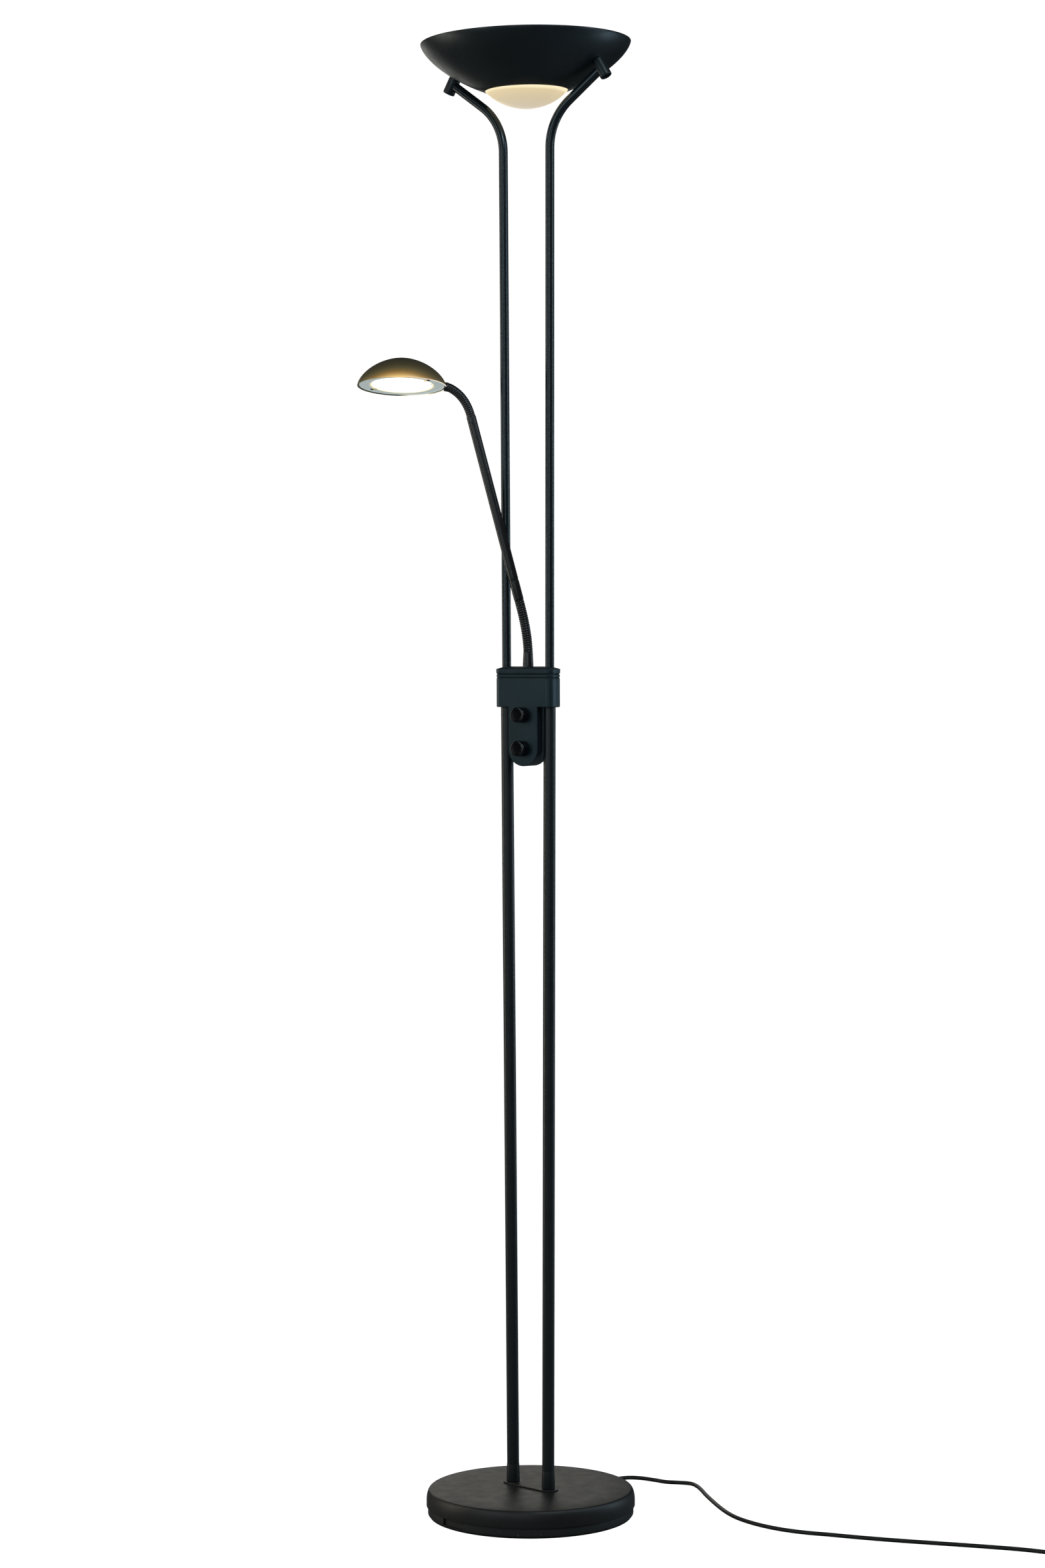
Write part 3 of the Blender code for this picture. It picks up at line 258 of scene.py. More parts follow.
# Other materials: name, roughness, metallic, patches per metre, dark and light tone, then the noise and
# range of the roughness and the noise and depth of the bump, where there are any
PLAIN_LOOKS = {
    "gloss": (
        "gloss_black", 0.12, 0, 300, (0.002, 0.003, 0.004), (0.004, 0.005, 0.007), (120, 0.08, 0.14), None,
    ),
    "foam": ("foam_black", 0.95, 0, 900, (0.004,) * 3, (0.012,) * 3, None, (1800, 3, 0.0002)),
    "pvc": (
        "black_pvc", 0.42, 0, 250, (0.006, 0.006, 0.006), (0.013, 0.012, 0.011), (500, 0.36, 0.5),
        (700, 2, 0.00004),
    ),
    "zinc": (
        "zinc", 0.38, 1, 400, (0.44, 0.448, 0.464), (0.55, 0.56, 0.58), (600, 0.30, 0.48),
        (1200, 2, 0.00003),
    ),
    "steel": ("steel", 0.30, 1, 400, (0.48,) * 3, (0.60,) * 3, (600, 0.22, 0.40), (1200, 2, 0.00003)),
    "iron": ("cast_iron", 0.7, 0.6, 150, (0.06,) * 3, (0.13, 0.125, 0.12), None, (400, 4, 0.0003)),
    "aluminium": (
        "aluminium", 0.35, 1, 100, (0.66, 0.66, 0.67), (0.78, 0.78, 0.79), None,
        (900, 2, 0.5, (1, 12, 1), 0.00004),
    ),
    "board": (
        "circuit_board", 0.45, 0, 220, (0.66, 0.68, 0.66), (0.78, 0.79, 0.77), None, (500, 2, 0.00005),
    ),
    "pot": ("pot_housing", 0.5, 0, 300, (0.03, 0.08, 0.18), (0.06, 0.13, 0.27), None, None),
    "white": ("white_plastic", 0.5, 0, 120, (0.74, 0.74, 0.72), (0.82, 0.82, 0.80), None, None),
    "dark_steel": ("dark_steel", 0.4, 1, 600, (0.02,) * 3, (0.06,) * 3, None, (1500, 2, 0.00003)),
    "brass_pin": (
        "pin_brass", 0.28, 1, 300, (0.62, 0.60, 0.56), (0.74, 0.72, 0.68), (900, 0.22, 0.34), None,
    ),
}
PATCH_START = {"gloss": 0.4}  # where the dark tone ends, when it isn't at 0.3
OPAL_LOOKS = (
    ("window", "window_opal", 0.4, 3.0, (1.0, 0.95, 0.86)),
    ("uplight", "uplight_opal", 0.45, 2.5, (1.0, 0.90, 0.74)),
)


# Camera -------------------------------------------------------------------------------------


def add_camera():
    """A long lens a little above the middle of the lamp, looking slightly down."""
    azimuth = math.radians(31)
    distance = 4.5275
    height = 1.0872
    pitch = 0.041145
    roll = -0.0032
    right = Vector((math.cos(azimuth), math.sin(azimuth), 0))
    away = UP.cross(right)
    view = away * math.cos(pitch) - UP * math.sin(pitch)
    above = away * math.sin(pitch) + UP * math.cos(pitch)
    lens = bpy.data.cameras.new("camera")
    lens.sensor_fit = "VERTICAL"
    lens.sensor_height = 36
    lens.lens = 85.094
    lens.clip_end = 60
    camera = bpy.data.objects.new("camera", lens)
    turn = Matrix((right, above, -view)).transposed() @ Matrix.Rotation(roll, 3, "Z")
    place = UP * height - away * distance - right * 0.0073
    camera.matrix_world = Matrix.Translation(place) @ turn.to_4x4()
    bpy.context.collection.objects.link(camera)
    bpy.context.scene.camera = camera


# Materials ----------------------------------------------------------------------------------


class Look:
    """A Principled material whose colour, roughness and bump are worked out by nodes."""

    def __init__(self, name, roughness=0.5, metallic=0.0, **fixed):
        self.material = bpy.data.materials.new(name)
        self.material.use_nodes = True
        self.tree = self.material.node_tree
        self.shader = self.tree.nodes["Principled BSDF"]
        self.shader.inputs["Roughness"].default_value = roughness
        self.shader.inputs["Metallic"].default_value = metallic
        for label, value in fixed.items():
            self.shader.inputs[label.replace("_", " ")].default_value = value
        self.where = self.tree.nodes.new("ShaderNodeTexCoord").outputs["Object"]

    def node(self, kind, **settings):
        made = self.tree.nodes.new(kind)
        for label, value in settings.items():
            setattr(made, label, value)
        return made

    def link(self, start, end):
        self.tree.links.new(start, end)

    def noise(self, scale, detail=3, rough=0.5, stretch=None):
        """Noise between 0 and 1; scale is in cells per metre."""
        made = self.node("ShaderNodeTexNoise")
        made.inputs["Scale"].default_value = scale
        made.inputs["Detail"].default_value = detail
        made.inputs["Roughness"].default_value = rough
        where = self.where
        if stretch:
            mapping = self.node("ShaderNodeMapping")
            mapping.inputs["Scale"].default_value = stretch
            self.link(where, mapping.inputs["Vector"])
            where = mapping.outputs["Vector"]
        self.link(where, made.inputs["Vector"])
        return made.outputs["Fac"]

    def ramp(self, source, stops):
        """Colours along a value, as (position, colour)."""
        made = self.node("ShaderNodeValToRGB")
        ramp = made.color_ramp
        while len(ramp.elements) < len(stops):
            ramp.elements.new(0.5)
        for element, (position, colour) in zip(ramp.elements, stops):
            element.position = position
            element.color = (*colour, 1)
        self.link(source, made.inputs["Fac"])
        return made.outputs["Color"]

    def between(self, source, low, high, start=0.0, end=1.0):
        """A value from low to high as source goes from start to end."""
        made = self.node("ShaderNodeMapRange", clamp=True)
        made.inputs["From Min"].default_value = start
        made.inputs["From Max"].default_value = end
        made.inputs["To Min"].default_value = low
        made.inputs["To Max"].default_value = high
        self.link(source, made.inputs["Value"])
        return made.outputs["Result"]

    def maths(self, operation, first, second):
        made = self.node("ShaderNodeMath", operation=operation)
        for slot, value in zip(made.inputs, (first, second)):
            if isinstance(value, (int, float)):
                slot.default_value = value
            else:
                self.link(value, slot)
        return made.outputs["Value"]

    def along(self, origin, axis):
        """How far the surface lies from an origin along an axis, in metres."""
        from_origin = self.node("ShaderNodeVectorMath", operation="SUBTRACT")
        self.link(self.where, from_origin.inputs[0])
        from_origin.inputs[1].default_value = origin
        dot = self.node("ShaderNodeVectorMath", operation="DOT_PRODUCT")
        self.link(from_origin.outputs["Vector"], dot.inputs[0])
        dot.inputs[1].default_value = axis
        return dot.outputs["Value"]

    def bump(self, *layers):
        """Bump from (height source, depth in metres) layers."""
        normal = None
        for source, depth in layers:
            made = self.node("ShaderNodeBump")
            made.inputs["Strength"].default_value = 1.0
            made.inputs["Distance"].default_value = depth
            self.link(source, made.inputs["Height"])
            if normal:
                self.link(normal, made.inputs["Normal"])
            normal = made.outputs["Normal"]
        self.link(normal, self.shader.inputs["Normal"])

    def colour(self, source):
        self.link(source, self.shader.inputs["Base Color"])

    def roughness(self, source):
        self.link(source, self.shader.inputs["Roughness"])

    def glow(self, colour_source, strength_source):
        self.link(colour_source, self.shader.inputs["Emission Color"])
        self.link(strength_source, self.shader.inputs["Emission Strength"])


def powder_coat(name, dark, light, rough, grain, grain_depth, peel_depth, tint):
    """Satin black powder coat: fine orange peel, small tone changes and a little dust."""
    look = Look(name, Specular_Tint=(*tint, 1))
    patches = look.noise(22, 4, 0.6)
    speckle = look.noise(1500 * grain, 2, 0.6)
    mixed = look.maths("ADD", look.maths("MULTIPLY", patches, 0.6), look.maths("MULTIPLY", speckle, 0.4))
    look.colour(look.ramp(mixed, [(0.35, dark), (0.68, light)]))
    look.roughness(look.between(look.noise(60, 4, 0.6), rough[0], rough[1], 0.3, 0.7))
    look.bump((look.noise(900 * grain, 2, 0.5), grain_depth), (look.noise(260, 2, 0.5), peel_depth))
    return look.material


def make_dome_look():
    """Powder coat with painted light as emission: the warm glare of the lit window on the dome's edge, a
    white wash inside the far rim and a faint glow over the whole dome.
    """
    look = Look("dome_black_painted_glow", 0.42)
    look.colour(
        look.ramp(look.noise(1300, 2, 0.6), [(0.3, (0.012, 0.012, 0.010)), (0.7, (0.024, 0.023, 0.020))])
    )
    look.roughness(look.between(look.noise(60, 4, 0.6), 0.38, 0.48, 0.3, 0.7))
    look.bump((look.noise(800, 2, 0.5), 0.00006))
    place = head_place()
    turn = place.to_3x3()
    origin = place.translation
    # Painted light, given as emission: a warm glow rising from the rim, strongest across the middle and
    # towards the front, a white wash inside the far rim and near the rim on the side towards the poles, and a
    # faint glow over the whole dome.
    rise = look.between(look.along(origin, turn @ UP), 0, 1, 0.0, HEAD_H)
    across = look.maths("DIVIDE", look.along(origin, turn @ Vector(ACROSS)), PAINTED_GLOW_HALF_W)
    centred = look.maths("EXPONENT", look.maths("MULTIPLY", look.maths("MULTIPLY", across, across), -1.0), 0)
    near_rim = look.maths("EXPONENT", look.maths("MULTIPLY", rise, PAINTED_GLOW_FALLOFF), 0)
    glow = look.maths("MULTIPLY", look.maths("MULTIPLY", near_rim, PAINTED_GLOW_STRENGTH), centred)
    near = look.along(origin, turn @ Vector(TOWARDS))
    glow = look.maths("MULTIPLY", glow, look.between(near, 0, 1, 0.0, 0.008))
    far = look.maths(
        "MULTIPLY", look.between(near, 1, 0, -0.044, -0.036), look.between(across, 0, 1, -0.2, 0.3),
    )
    far = look.maths("MULTIPLY", far, look.between(rise, 1, 0, 0.0, 0.08))
    end = look.maths("MULTIPLY", look.between(rise, 0.8, 0, 0.0, 0.02), look.between(across, 0, 1, 0.3, 1.5))
    far = look.maths("MAXIMUM", far, end)
    faint = look.between(rise, 0.034, 0.012)
    tint = look.ramp(glow, [(0.0, (0.95, 0.84, 0.34)), (0.15, (1.0, 0.60, 0.16)), (0.6, (1.0, 0.64, 0.22))])
    washed = look.node("ShaderNodeMix", data_type="RGBA")
    look.link(far, washed.inputs["Factor"])
    look.link(tint, washed.inputs["A"])
    washed.inputs["B"].default_value = (1.0, 0.97, 0.90, 1)
    look.glow(washed.outputs["Result"], look.maths("ADD", look.maths("ADD", glow, faint), far))
    return look.material


def make_tray_look():
    """Rough black plastic with a little pale dust caught on it."""
    look = Look("tray_black", 0.6)
    grain = look.ramp(look.noise(1100, 2), [(0.3, (0.010, 0.012, 0.012)), (0.7, (0.020, 0.022, 0.021))])
    specks = look.between(look.noise(420, 1, 0.4), 0, 1, 0.76, 0.80)
    mixed = look.node("ShaderNodeMix", data_type="RGBA")
    look.link(specks, mixed.inputs["Factor"])
    look.link(grain, mixed.inputs["A"])
    mixed.inputs["B"].default_value = (0.30, 0.31, 0.30, 1)
    look.colour(mixed.outputs["Result"])
    look.roughness(look.between(look.noise(80, 4), 0.52, 0.68, 0.3, 0.7))
    look.bump((look.noise(900, 2), 0.00005))
    return look.material


def make_ring_look():
    """Pale grey paint around the lit window, with painted light as emission: an even glow over the whole ring
    and a warm glow at its inner edge.
    """
    look = Look("reflector_grey", 0.42)
    look.colour(look.ramp(look.noise(200), [(0.3, (0.50, 0.56, 0.57)), (0.7, (0.60, 0.65, 0.65))]))
    look.roughness(look.between(look.noise(500, 3), 0.38, 0.5))
    look.bump((look.noise(1000, 2), 0.00003))
    place = head_place()
    turn = place.to_3x3()
    middle = place @ Vector(RING_PAINTED_GLOW_SHIFT)
    first = look.along(middle, turn @ Vector(ACROSS))
    second = look.along(middle, turn @ Vector(RING_PAINTED_GLOW_LONG))
    squares = look.maths("ADD", look.maths("MULTIPLY", first, first), look.maths("MULTIPLY", second, second))
    radius = look.maths("SQRT", squares, 0)
    inner = look.between(radius, 1, 0, WINDOW_R, WINDOW_R + 0.005)
    warm = look.maths("POWER", inner, 2.0)
    tint = look.ramp(warm, [(0.0, (0.75, 0.86, 0.84)), (0.5, (1.0, 0.80, 0.42)), (1.0, (1.0, 0.92, 0.68))])
    # Painted light: the ring glows evenly at 0.40, and warmer and brighter towards the window's edge.
    look.glow(tint, look.maths("ADD", look.maths("MULTIPLY", warm, 0.9), 0.40))
    return look.material


def make_glass_look():
    """Frosted glass lit from within, brightest at its upper edge."""
    look = Look("frosted_glass", 0.38)
    height = look.node("ShaderNodeSeparateXYZ")
    look.link(look.where, height.inputs["Vector"])
    hole_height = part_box("bowl_glass")[0].z + GLASS_DROP
    rise = look.between(height.outputs["Z"], 0, 1, hole_height - GLASS_DROP, hole_height + 0.001)
    look.colour(look.ramp(look.noise(1200, 2), [(0.3, (0.30, 0.27, 0.22)), (0.7, (0.36, 0.32, 0.26))]))
    stops = [
        (0.0, (0.64, 0.55, 0.42)), (0.4, (0.64, 0.53, 0.34)), (0.80, (0.70, 0.56, 0.33)),
        (0.90, (0.92, 0.79, 0.50)), (1.0, (1.0, 0.86, 0.56)),
    ]
    look.glow(look.ramp(rise, stops), look.between(rise, 0.92, 1.0))
    look.bump((look.noise(1800, 2), 0.00002))
    return look.material


def make_looks():
    """Every material, by the short name that the build functions use."""
    looks = {label: powder_coat(*settings) for label, settings in COATED_LOOKS.items()}
    looks["dome"] = make_dome_look()
    for label, (name, roughness, metallic, patches, dark, light, polish, bump) in PLAIN_LOOKS.items():
        look = Look(name, roughness, metallic)
        look.colour(look.ramp(look.noise(patches), [(PATCH_START.get(label, 0.3), dark), (0.7, light)]))
        if polish:
            scale, low, high = polish
            look.roughness(look.between(look.noise(scale, 3), low, high))
        if bump:
            *noise, depth = bump
            look.bump((look.noise(*noise), depth))
        looks[label] = look.material
    looks["tray"] = make_tray_look()
    looks["ring"] = make_ring_look()
    for label, name, roughness, strength, glow in OPAL_LOOKS:
        look = Look(name, roughness, Emission_Strength=strength)
        look.colour(look.ramp(look.noise(150), [(0.3, (0.9, 0.88, 0.82)), (0.7, (0.95, 0.93, 0.88))]))
        look.shader.inputs["Emission Color"].default_value = (*glow, 1)
        looks[label] = look.material
    looks["glass"] = make_glass_look()

    # Brass clips with a painted glow: their own tone is emitted as well, so they shine though they are no
    # lamp.
    look = Look("clip_brass", 0.3, 1.0, Emission_Strength=0.35)
    tone = look.ramp(look.noise(400), [(0.3, (0.50, 0.34, 0.14)), (0.7, (0.72, 0.52, 0.24))])
    look.colour(tone)
    look.link(tone, look.shader.inputs["Emission Color"])
    looks["brass"] = look.material

    return looks


# Mesh helpers -------------------------------------------------------------------------------


def add_piece(name, shape, look, body="stand", stands_for=None, sharp=32):
    """Makes an object from a bmesh and dresses it."""
    bmesh.ops.remove_doubles(shape, verts=shape.verts, dist=1e-7)
    bmesh.ops.recalc_face_normals(shape, faces=shape.faces)
    mesh = bpy.data.meshes.new(name)
    shape.to_mesh(mesh)
    shape.free()
    return dress(bpy.data.objects.new(name, mesh), look, body, stands_for, sharp)


def dress(piece, look, body="stand", stands_for=None, sharp=32):
    """Links a mesh object, shades it smooth, gives it its material, parents it to its body and hides the CAD
    nodes it stands for.

    Unless stands_for says otherwise, NAME_fine stands for the CAD node NAME and others for none.
    """
    if stands_for is None:
        stands_for = [piece.name.removesuffix("_fine")] if piece.name.endswith("_fine") else []
    piece.data.shade_smooth()
    piece.data.set_sharp_from_angle(angle=math.radians(sharp))
    piece.data.materials.clear()
    piece.data.materials.append(look)
    if piece.name not in bpy.context.collection.objects:
        bpy.context.collection.objects.link(piece)
    if body:
        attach(piece, body)
    if stands_for:
        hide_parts(*stands_for)
    return piece


def filleted(points, steps=4):
    """A closed profile with its corners rounded; a point is (r, z) or (r, z, fillet radius)."""
    made = []
    for i, point in enumerate(points):
        here = Vector(point[:2])
        radius = point[2] if len(point) > 2 else 0
        before = Vector(points[i - 1][:2]) - here
        after = Vector(points[(i + 1) % len(points)][:2]) - here
        if radius <= 0 or before.length < 1e-9 or after.length < 1e-9:
            made.append(tuple(here))
            continue
        half = before.angle(after) / 2
        reach = min(radius / math.tan(half), before.length * 0.49, after.length * 0.49)
        radius = reach * math.tan(half)
        centre = here + (before.normalized() + after.normalized()).normalized() * (radius / math.sin(half))
        first = here + before.normalized() * reach - centre
        last = here + after.normalized() * reach - centre
        turn = first.angle_signed(last)
        for k in range(steps + 1):
            made.append(tuple(centre + Matrix.Rotation(-turn * k / steps, 2) @ first))
    return made


def turned_shape(profile, steps=96, place=None):
    """A bmesh turned about local Z from a closed (radius, height) ring."""
    shape = bmesh.new()
    points = [shape.verts.new((max(radius, 0), 0, height)) for radius, height in profile]
    edges = []
    for i, point in enumerate(points):
        if profile[i - 1][0] > 1e-9 or profile[i][0] > 1e-9:
            edges.append(shape.edges.new((points[i - 1], point)))
    bmesh.ops.spin(
        shape, geom=points + edges, cent=(0, 0, 0), axis=(0, 0, 1), angle=math.tau, steps=steps,
        use_merge=True,
    )
    if place:
        bmesh.ops.transform(shape, matrix=place, verts=shape.verts)
    return shape


def turned(
    name, profile, look, body="stand", stands_for=None, steps=96, place=None, sharp=32,
):
    """A piece turned about local Z."""
    return add_piece(name, turned_shape(profile, steps, place), look, body, stands_for, sharp)


def tube_shape(path, radii, sides=40, first_side=(0, 1, 0)):
    """A closed solid bar along a path, with one radius for each point."""
    shape = bmesh.new()
    rows = []
    side = Vector(first_side)
    for i, point in enumerate(path):
        along = (path[min(i + 1, len(path) - 1)] - path[max(i - 1, 0)]).normalized()
        side = (side - along * side.dot(along)).normalized()
        other = along.cross(side)
        rows.append([
            shape.verts.new(
                point + side * (radii[i] * math.cos(math.tau * k / sides))
                + other * (radii[i] * math.sin(math.tau * k / sides))
            ) for k in range(sides)
        ])
    return close_rows(shape, rows)


def close_rows(shape, rows):
    """Faces from each ring of points to the next, and one over either end."""
    for row, following in zip(rows, rows[1:]):
        for k in range(len(row)):
            after = (k + 1) % len(row)
            shape.faces.new((row[k], row[after], following[after], following[k]))
    shape.faces.new(rows[0][::-1])
    shape.faces.new(rows[-1])
    return shape


def block_shape(place, size):
    """A block of a size, centred at a placement."""
    shape = bmesh.new()
    bmesh.ops.create_cube(shape, size=1)
    bmesh.ops.transform(shape, matrix=place @ Matrix.Diagonal((*size, 1)), verts=shape.verts)
    return shape


def facing(point, along):
    """A placement at a point whose local Z runs along a direction."""
    turn = Vector(along).to_track_quat("Z", "Y").to_matrix().to_4x4()
    return Matrix.Translation(point) @ turn


def tool_object(shape):
    """A hidden object for a Boolean, from a bmesh."""
    bmesh.ops.remove_doubles(shape, verts=shape.verts, dist=1e-7)
    bmesh.ops.recalc_face_normals(shape, faces=shape.faces)
    mesh = bpy.data.meshes.new("tool")
    shape.to_mesh(mesh)
    shape.free()
    tool = bpy.data.objects.new("tool", mesh)
    bpy.context.collection.objects.link(tool)
    return tool


def combined(first, steps):
    """Applies Booleans to a tool object, as (operation, tool) in order, and returns the mesh."""
    for operation, tool in steps:
        modifier = first.modifiers.new("combine", "BOOLEAN")
        modifier.operation = operation
        modifier.solver = "EXACT"
        modifier.object = tool
    bpy.context.view_layer.update()
    graph = bpy.context.evaluated_depsgraph_get()
    mesh = bpy.data.meshes.new_from_object(first.evaluated_get(graph))
    for tool in [first] + [tool for _, tool in steps]:
        bpy.data.objects.remove(tool, do_unlink=True)
    return mesh


def arc(centre, radius, start, end, steps):
    """Points on an arc, angles in degrees."""
    return [
        (
            centre[0] + radius * math.cos(math.radians(start + (end - start) * i / steps)),
            centre[1] + radius * math.sin(math.radians(start + (end - start) * i / steps)),
        ) for i in range(steps + 1)
    ]


def smooth_points(route, spacing):
    """Points about spacing apart on a smooth curve through the route's own points."""
    points = [Vector(p) for p in route]
    points = [2 * points[0] - points[1], *points, 2 * points[-1] - points[-2]]
    made = []
    for before, start, end, after in zip(points, points[1:], points[2:], points[3:]):
        count = max(2, round((end - start).length / spacing))
        for i in range(count):
            t = i / count
            made.append(
                0.5 * (
                    2 * start + (end - before) * t + (2 * before - 5 * start + 4 * end - after) * t**2
                    + (3 * start - before - 3 * end + after) * t**3
                )
            )
    made.append(points[-2])
    return made


# Mains lead ---------------------------------------------------------------------------------


def coil_points():
    """The turns of the coil from where the lead comes in at its near side to where it leaves."""
    last = int(COIL_TURNS * TURN_STEPS)
    points = []
    for i in range(last + 1):
        done = i / TURN_STEPS
        column = min(int(done), 2) if done < 3 else 2 - min(int(done - 3), 2)
        part = done - int(done)
        shift = max(0.0, (part - 0.8) / 0.2)
        shift = shift * shift * (3 - 2 * shift)
        if done < 3:
            following = min(column + 1, 2)
        else:
            following = max(column - 1, 0)
        if i >= last - 10:
            following = column
        radius = COIL_RADII[column] + (COIL_RADII[following] - COIL_RADII[column]) * shift
        climb = min(max((done - 2.8) / 0.4, 0), 1)
        height = LAYER_HEIGHTS[0] + (LAYER_HEIGHTS[1] - LAYER_HEIGHTS[0]) * climb * climb * (3 - 2 * climb)
        angle = math.tau * done - math.pi / 2
        points.append(COIL_CENTRE + Vector((radius * math.cos(angle), radius * math.sin(angle), height)))
    return points


def build_tie(looks):
    """A twisted wire tie round the coil's turns, with its two ends left standing."""
    outward = Vector((math.cos(TIE_ANGLE), math.sin(TIE_ANGLE), 0))
    middle = COIL_CENTRE + outward * COIL_RADII[1] + UP * TIE_Z
    loop = []
    for i in range(33):
        angle = math.tau * i / 32 + math.pi / 2
        corner = (abs(math.cos(angle)) ** 4 + abs(math.sin(angle)) ** 4) ** -0.25
        reach = TIE_HALF_W * corner * math.cos(angle)
        loop.append(middle + outward * reach + UP * (TIE_HALF_H * corner * math.sin(angle)))
    shape = tube_shape(loop, [0.0006] * len(loop), 12, tuple(outward.cross(UP)))
    add_piece("coil_tie", shape, looks["pvc"])
    top = middle + UP * TIE_HALF_H
    along = outward.cross(UP)
    for number in (1, 2):
        path = []
        for i in range(19):
            angle = 2.2 * math.tau * i / 18 + math.pi * number
            spread = 0.0007 + 0.0012 * max(0, i - 13) / 5
            path.append(
                top + outward * (0.0004 * i) + UP * (0.00065 + 0.00006 * i + spread * 0.4 * math.sin(angle))
                + along * (spread * math.cos(angle))
            )
        shape = tube_shape(path, [0.0005] * len(path), 10, tuple(along))
        add_piece(f"coil_tie_end_{number}", shape, looks["pvc"])
    return [bpy.data.objects[name] for name in ("coil_tie", "coil_tie_end_1", "coil_tie_end_2")]


def build_plug(looks, tail, heading):
    """The plug's body with its grip, its ringed sleeve and two pins."""
    place = Matrix.Translation((tail.x, tail.y, 0)) @ Matrix.Rotation(heading, 4, "Z")
    middle = PLUG_Z
    outline = filleted(PLUG_OUTLINE, 6)
    centre = Vector((0.040, 0, 0))
    rows = []
    shape = bmesh.new()
    for i in range(13):
        angle = math.pi * i / 12
        shrink = 0.0030 * (1 - math.sin(angle) ** 0.5)
        height = middle - 0.0067 * math.cos(angle)
        row = []
        for x, y in outline:
            inward = (centre - Vector((x, y, 0))).normalized() * shrink
            row.append(shape.verts.new((x + inward.x, y + inward.y, height)))
        rows.append(row)
    body = tool_object(close_rows(shape, rows))
    cuts = []
    for side in (-1, 1):
        for i in range(4):
            spot = Matrix.Translation((GRIP_START + GRIP_PITCH * i, side * GRIP_OUT, middle))
            cuts.append(("DIFFERENCE", tool_object(block_shape(spot, (0.0012, 0.0050, 0.0090)))))
    mesh = combined(body, cuts)
    mesh.transform(place)
    body = dress(
        bpy.data.objects.new("plug_body_fine", mesh), looks["pvc"], stands_for=["plug"],
    )
    profile = [(0, 0.0001), (0.0031, 0.0001)]
    for i in range(7):
        low, outer = 0.0008 + 0.0029 * i, 0.0032 + 0.0002 * i
        profile += [
            (outer - 0.0004, low), (outer, low + 0.0004), (outer, low + 0.0017),
            (outer - 0.0004, low + 0.0021),
        ]
    profile += [(0.0046, 0.0222), (0, 0.0222)]
    sleeve = turned(
        "plug_sleeve", profile, looks["pvc"], steps=40,
        place=place @ facing((0, 0, middle), (1, 0, 0)),
    )
    pieces = [body, sleeve]
    for number, side in ((1, -1), (2, 1)):
        start = place @ Vector((0.0535, side * 0.0093, middle))
        direction = place.to_3x3() @ Vector((0.0205, -side * 0.0004, 0))
        grip = filleted([(0, 0), (0.0020, 0), (0.0019, 0.0105, 0.0001), (0, 0.0105)])
        tip = filleted(
            [(0, 0.0106), (0.0018, 0.0106), (0.0020, 0.0109, 0.0002), (0.0020, 0.0200, 0.0015), (0, 0.0204)]
        )
        pieces.append(
            turned(
                f"pin_sleeve_{number}", grip, looks["pvc"], steps=32,
                place=facing(start, direction),
            )
        )
        pieces.append(
            turned(
                f"pin_{number}", tip, looks["brass_pin"], steps=32,
                place=facing(start, direction),
            )
        )
    return pieces


def build_lead(looks):
    """The lead from the base to its coil and plug, as one cord."""
    heading = Vector((math.cos(PLUG_HEADING), math.sin(PLUG_HEADING), 0))
    across = Vector((-heading.y, heading.x, 0))
    tail = COIL_CENTRE - across * COIL_RADII[0] + heading * PLUG_TAIL_AT
    run = smooth_points(LEAD_ROUTE, 0.006)
    run += coil_points()
    run += [tail - heading * 0.010 + UP * 0.0072, tail + heading * 0.004 + UP * 0.0068]
    line = bpy.data.curves.new("mains_lead_fine", "CURVE")
    line.dimensions = "3D"
    line.bevel_depth = LEAD_D / 2
    line.bevel_resolution = 5
    line.use_fill_caps = True
    spline = line.splines.new("POLY")
    spline.points.add(len(run) - 1)
    for target, point in zip(spline.points, run):
        target.co = (*point, 1)
    lead = bpy.data.objects.new("mains_lead_fine", line)
    line.materials.append(looks["pvc"])
    bpy.context.collection.objects.link(lead)
    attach(lead, "stand")
    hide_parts("mains_lead", "lead_coil")

    build_plug(looks, tail, PLUG_HEADING) + build_tie(looks)


# Base ---------------------------------------------------------------------------------------


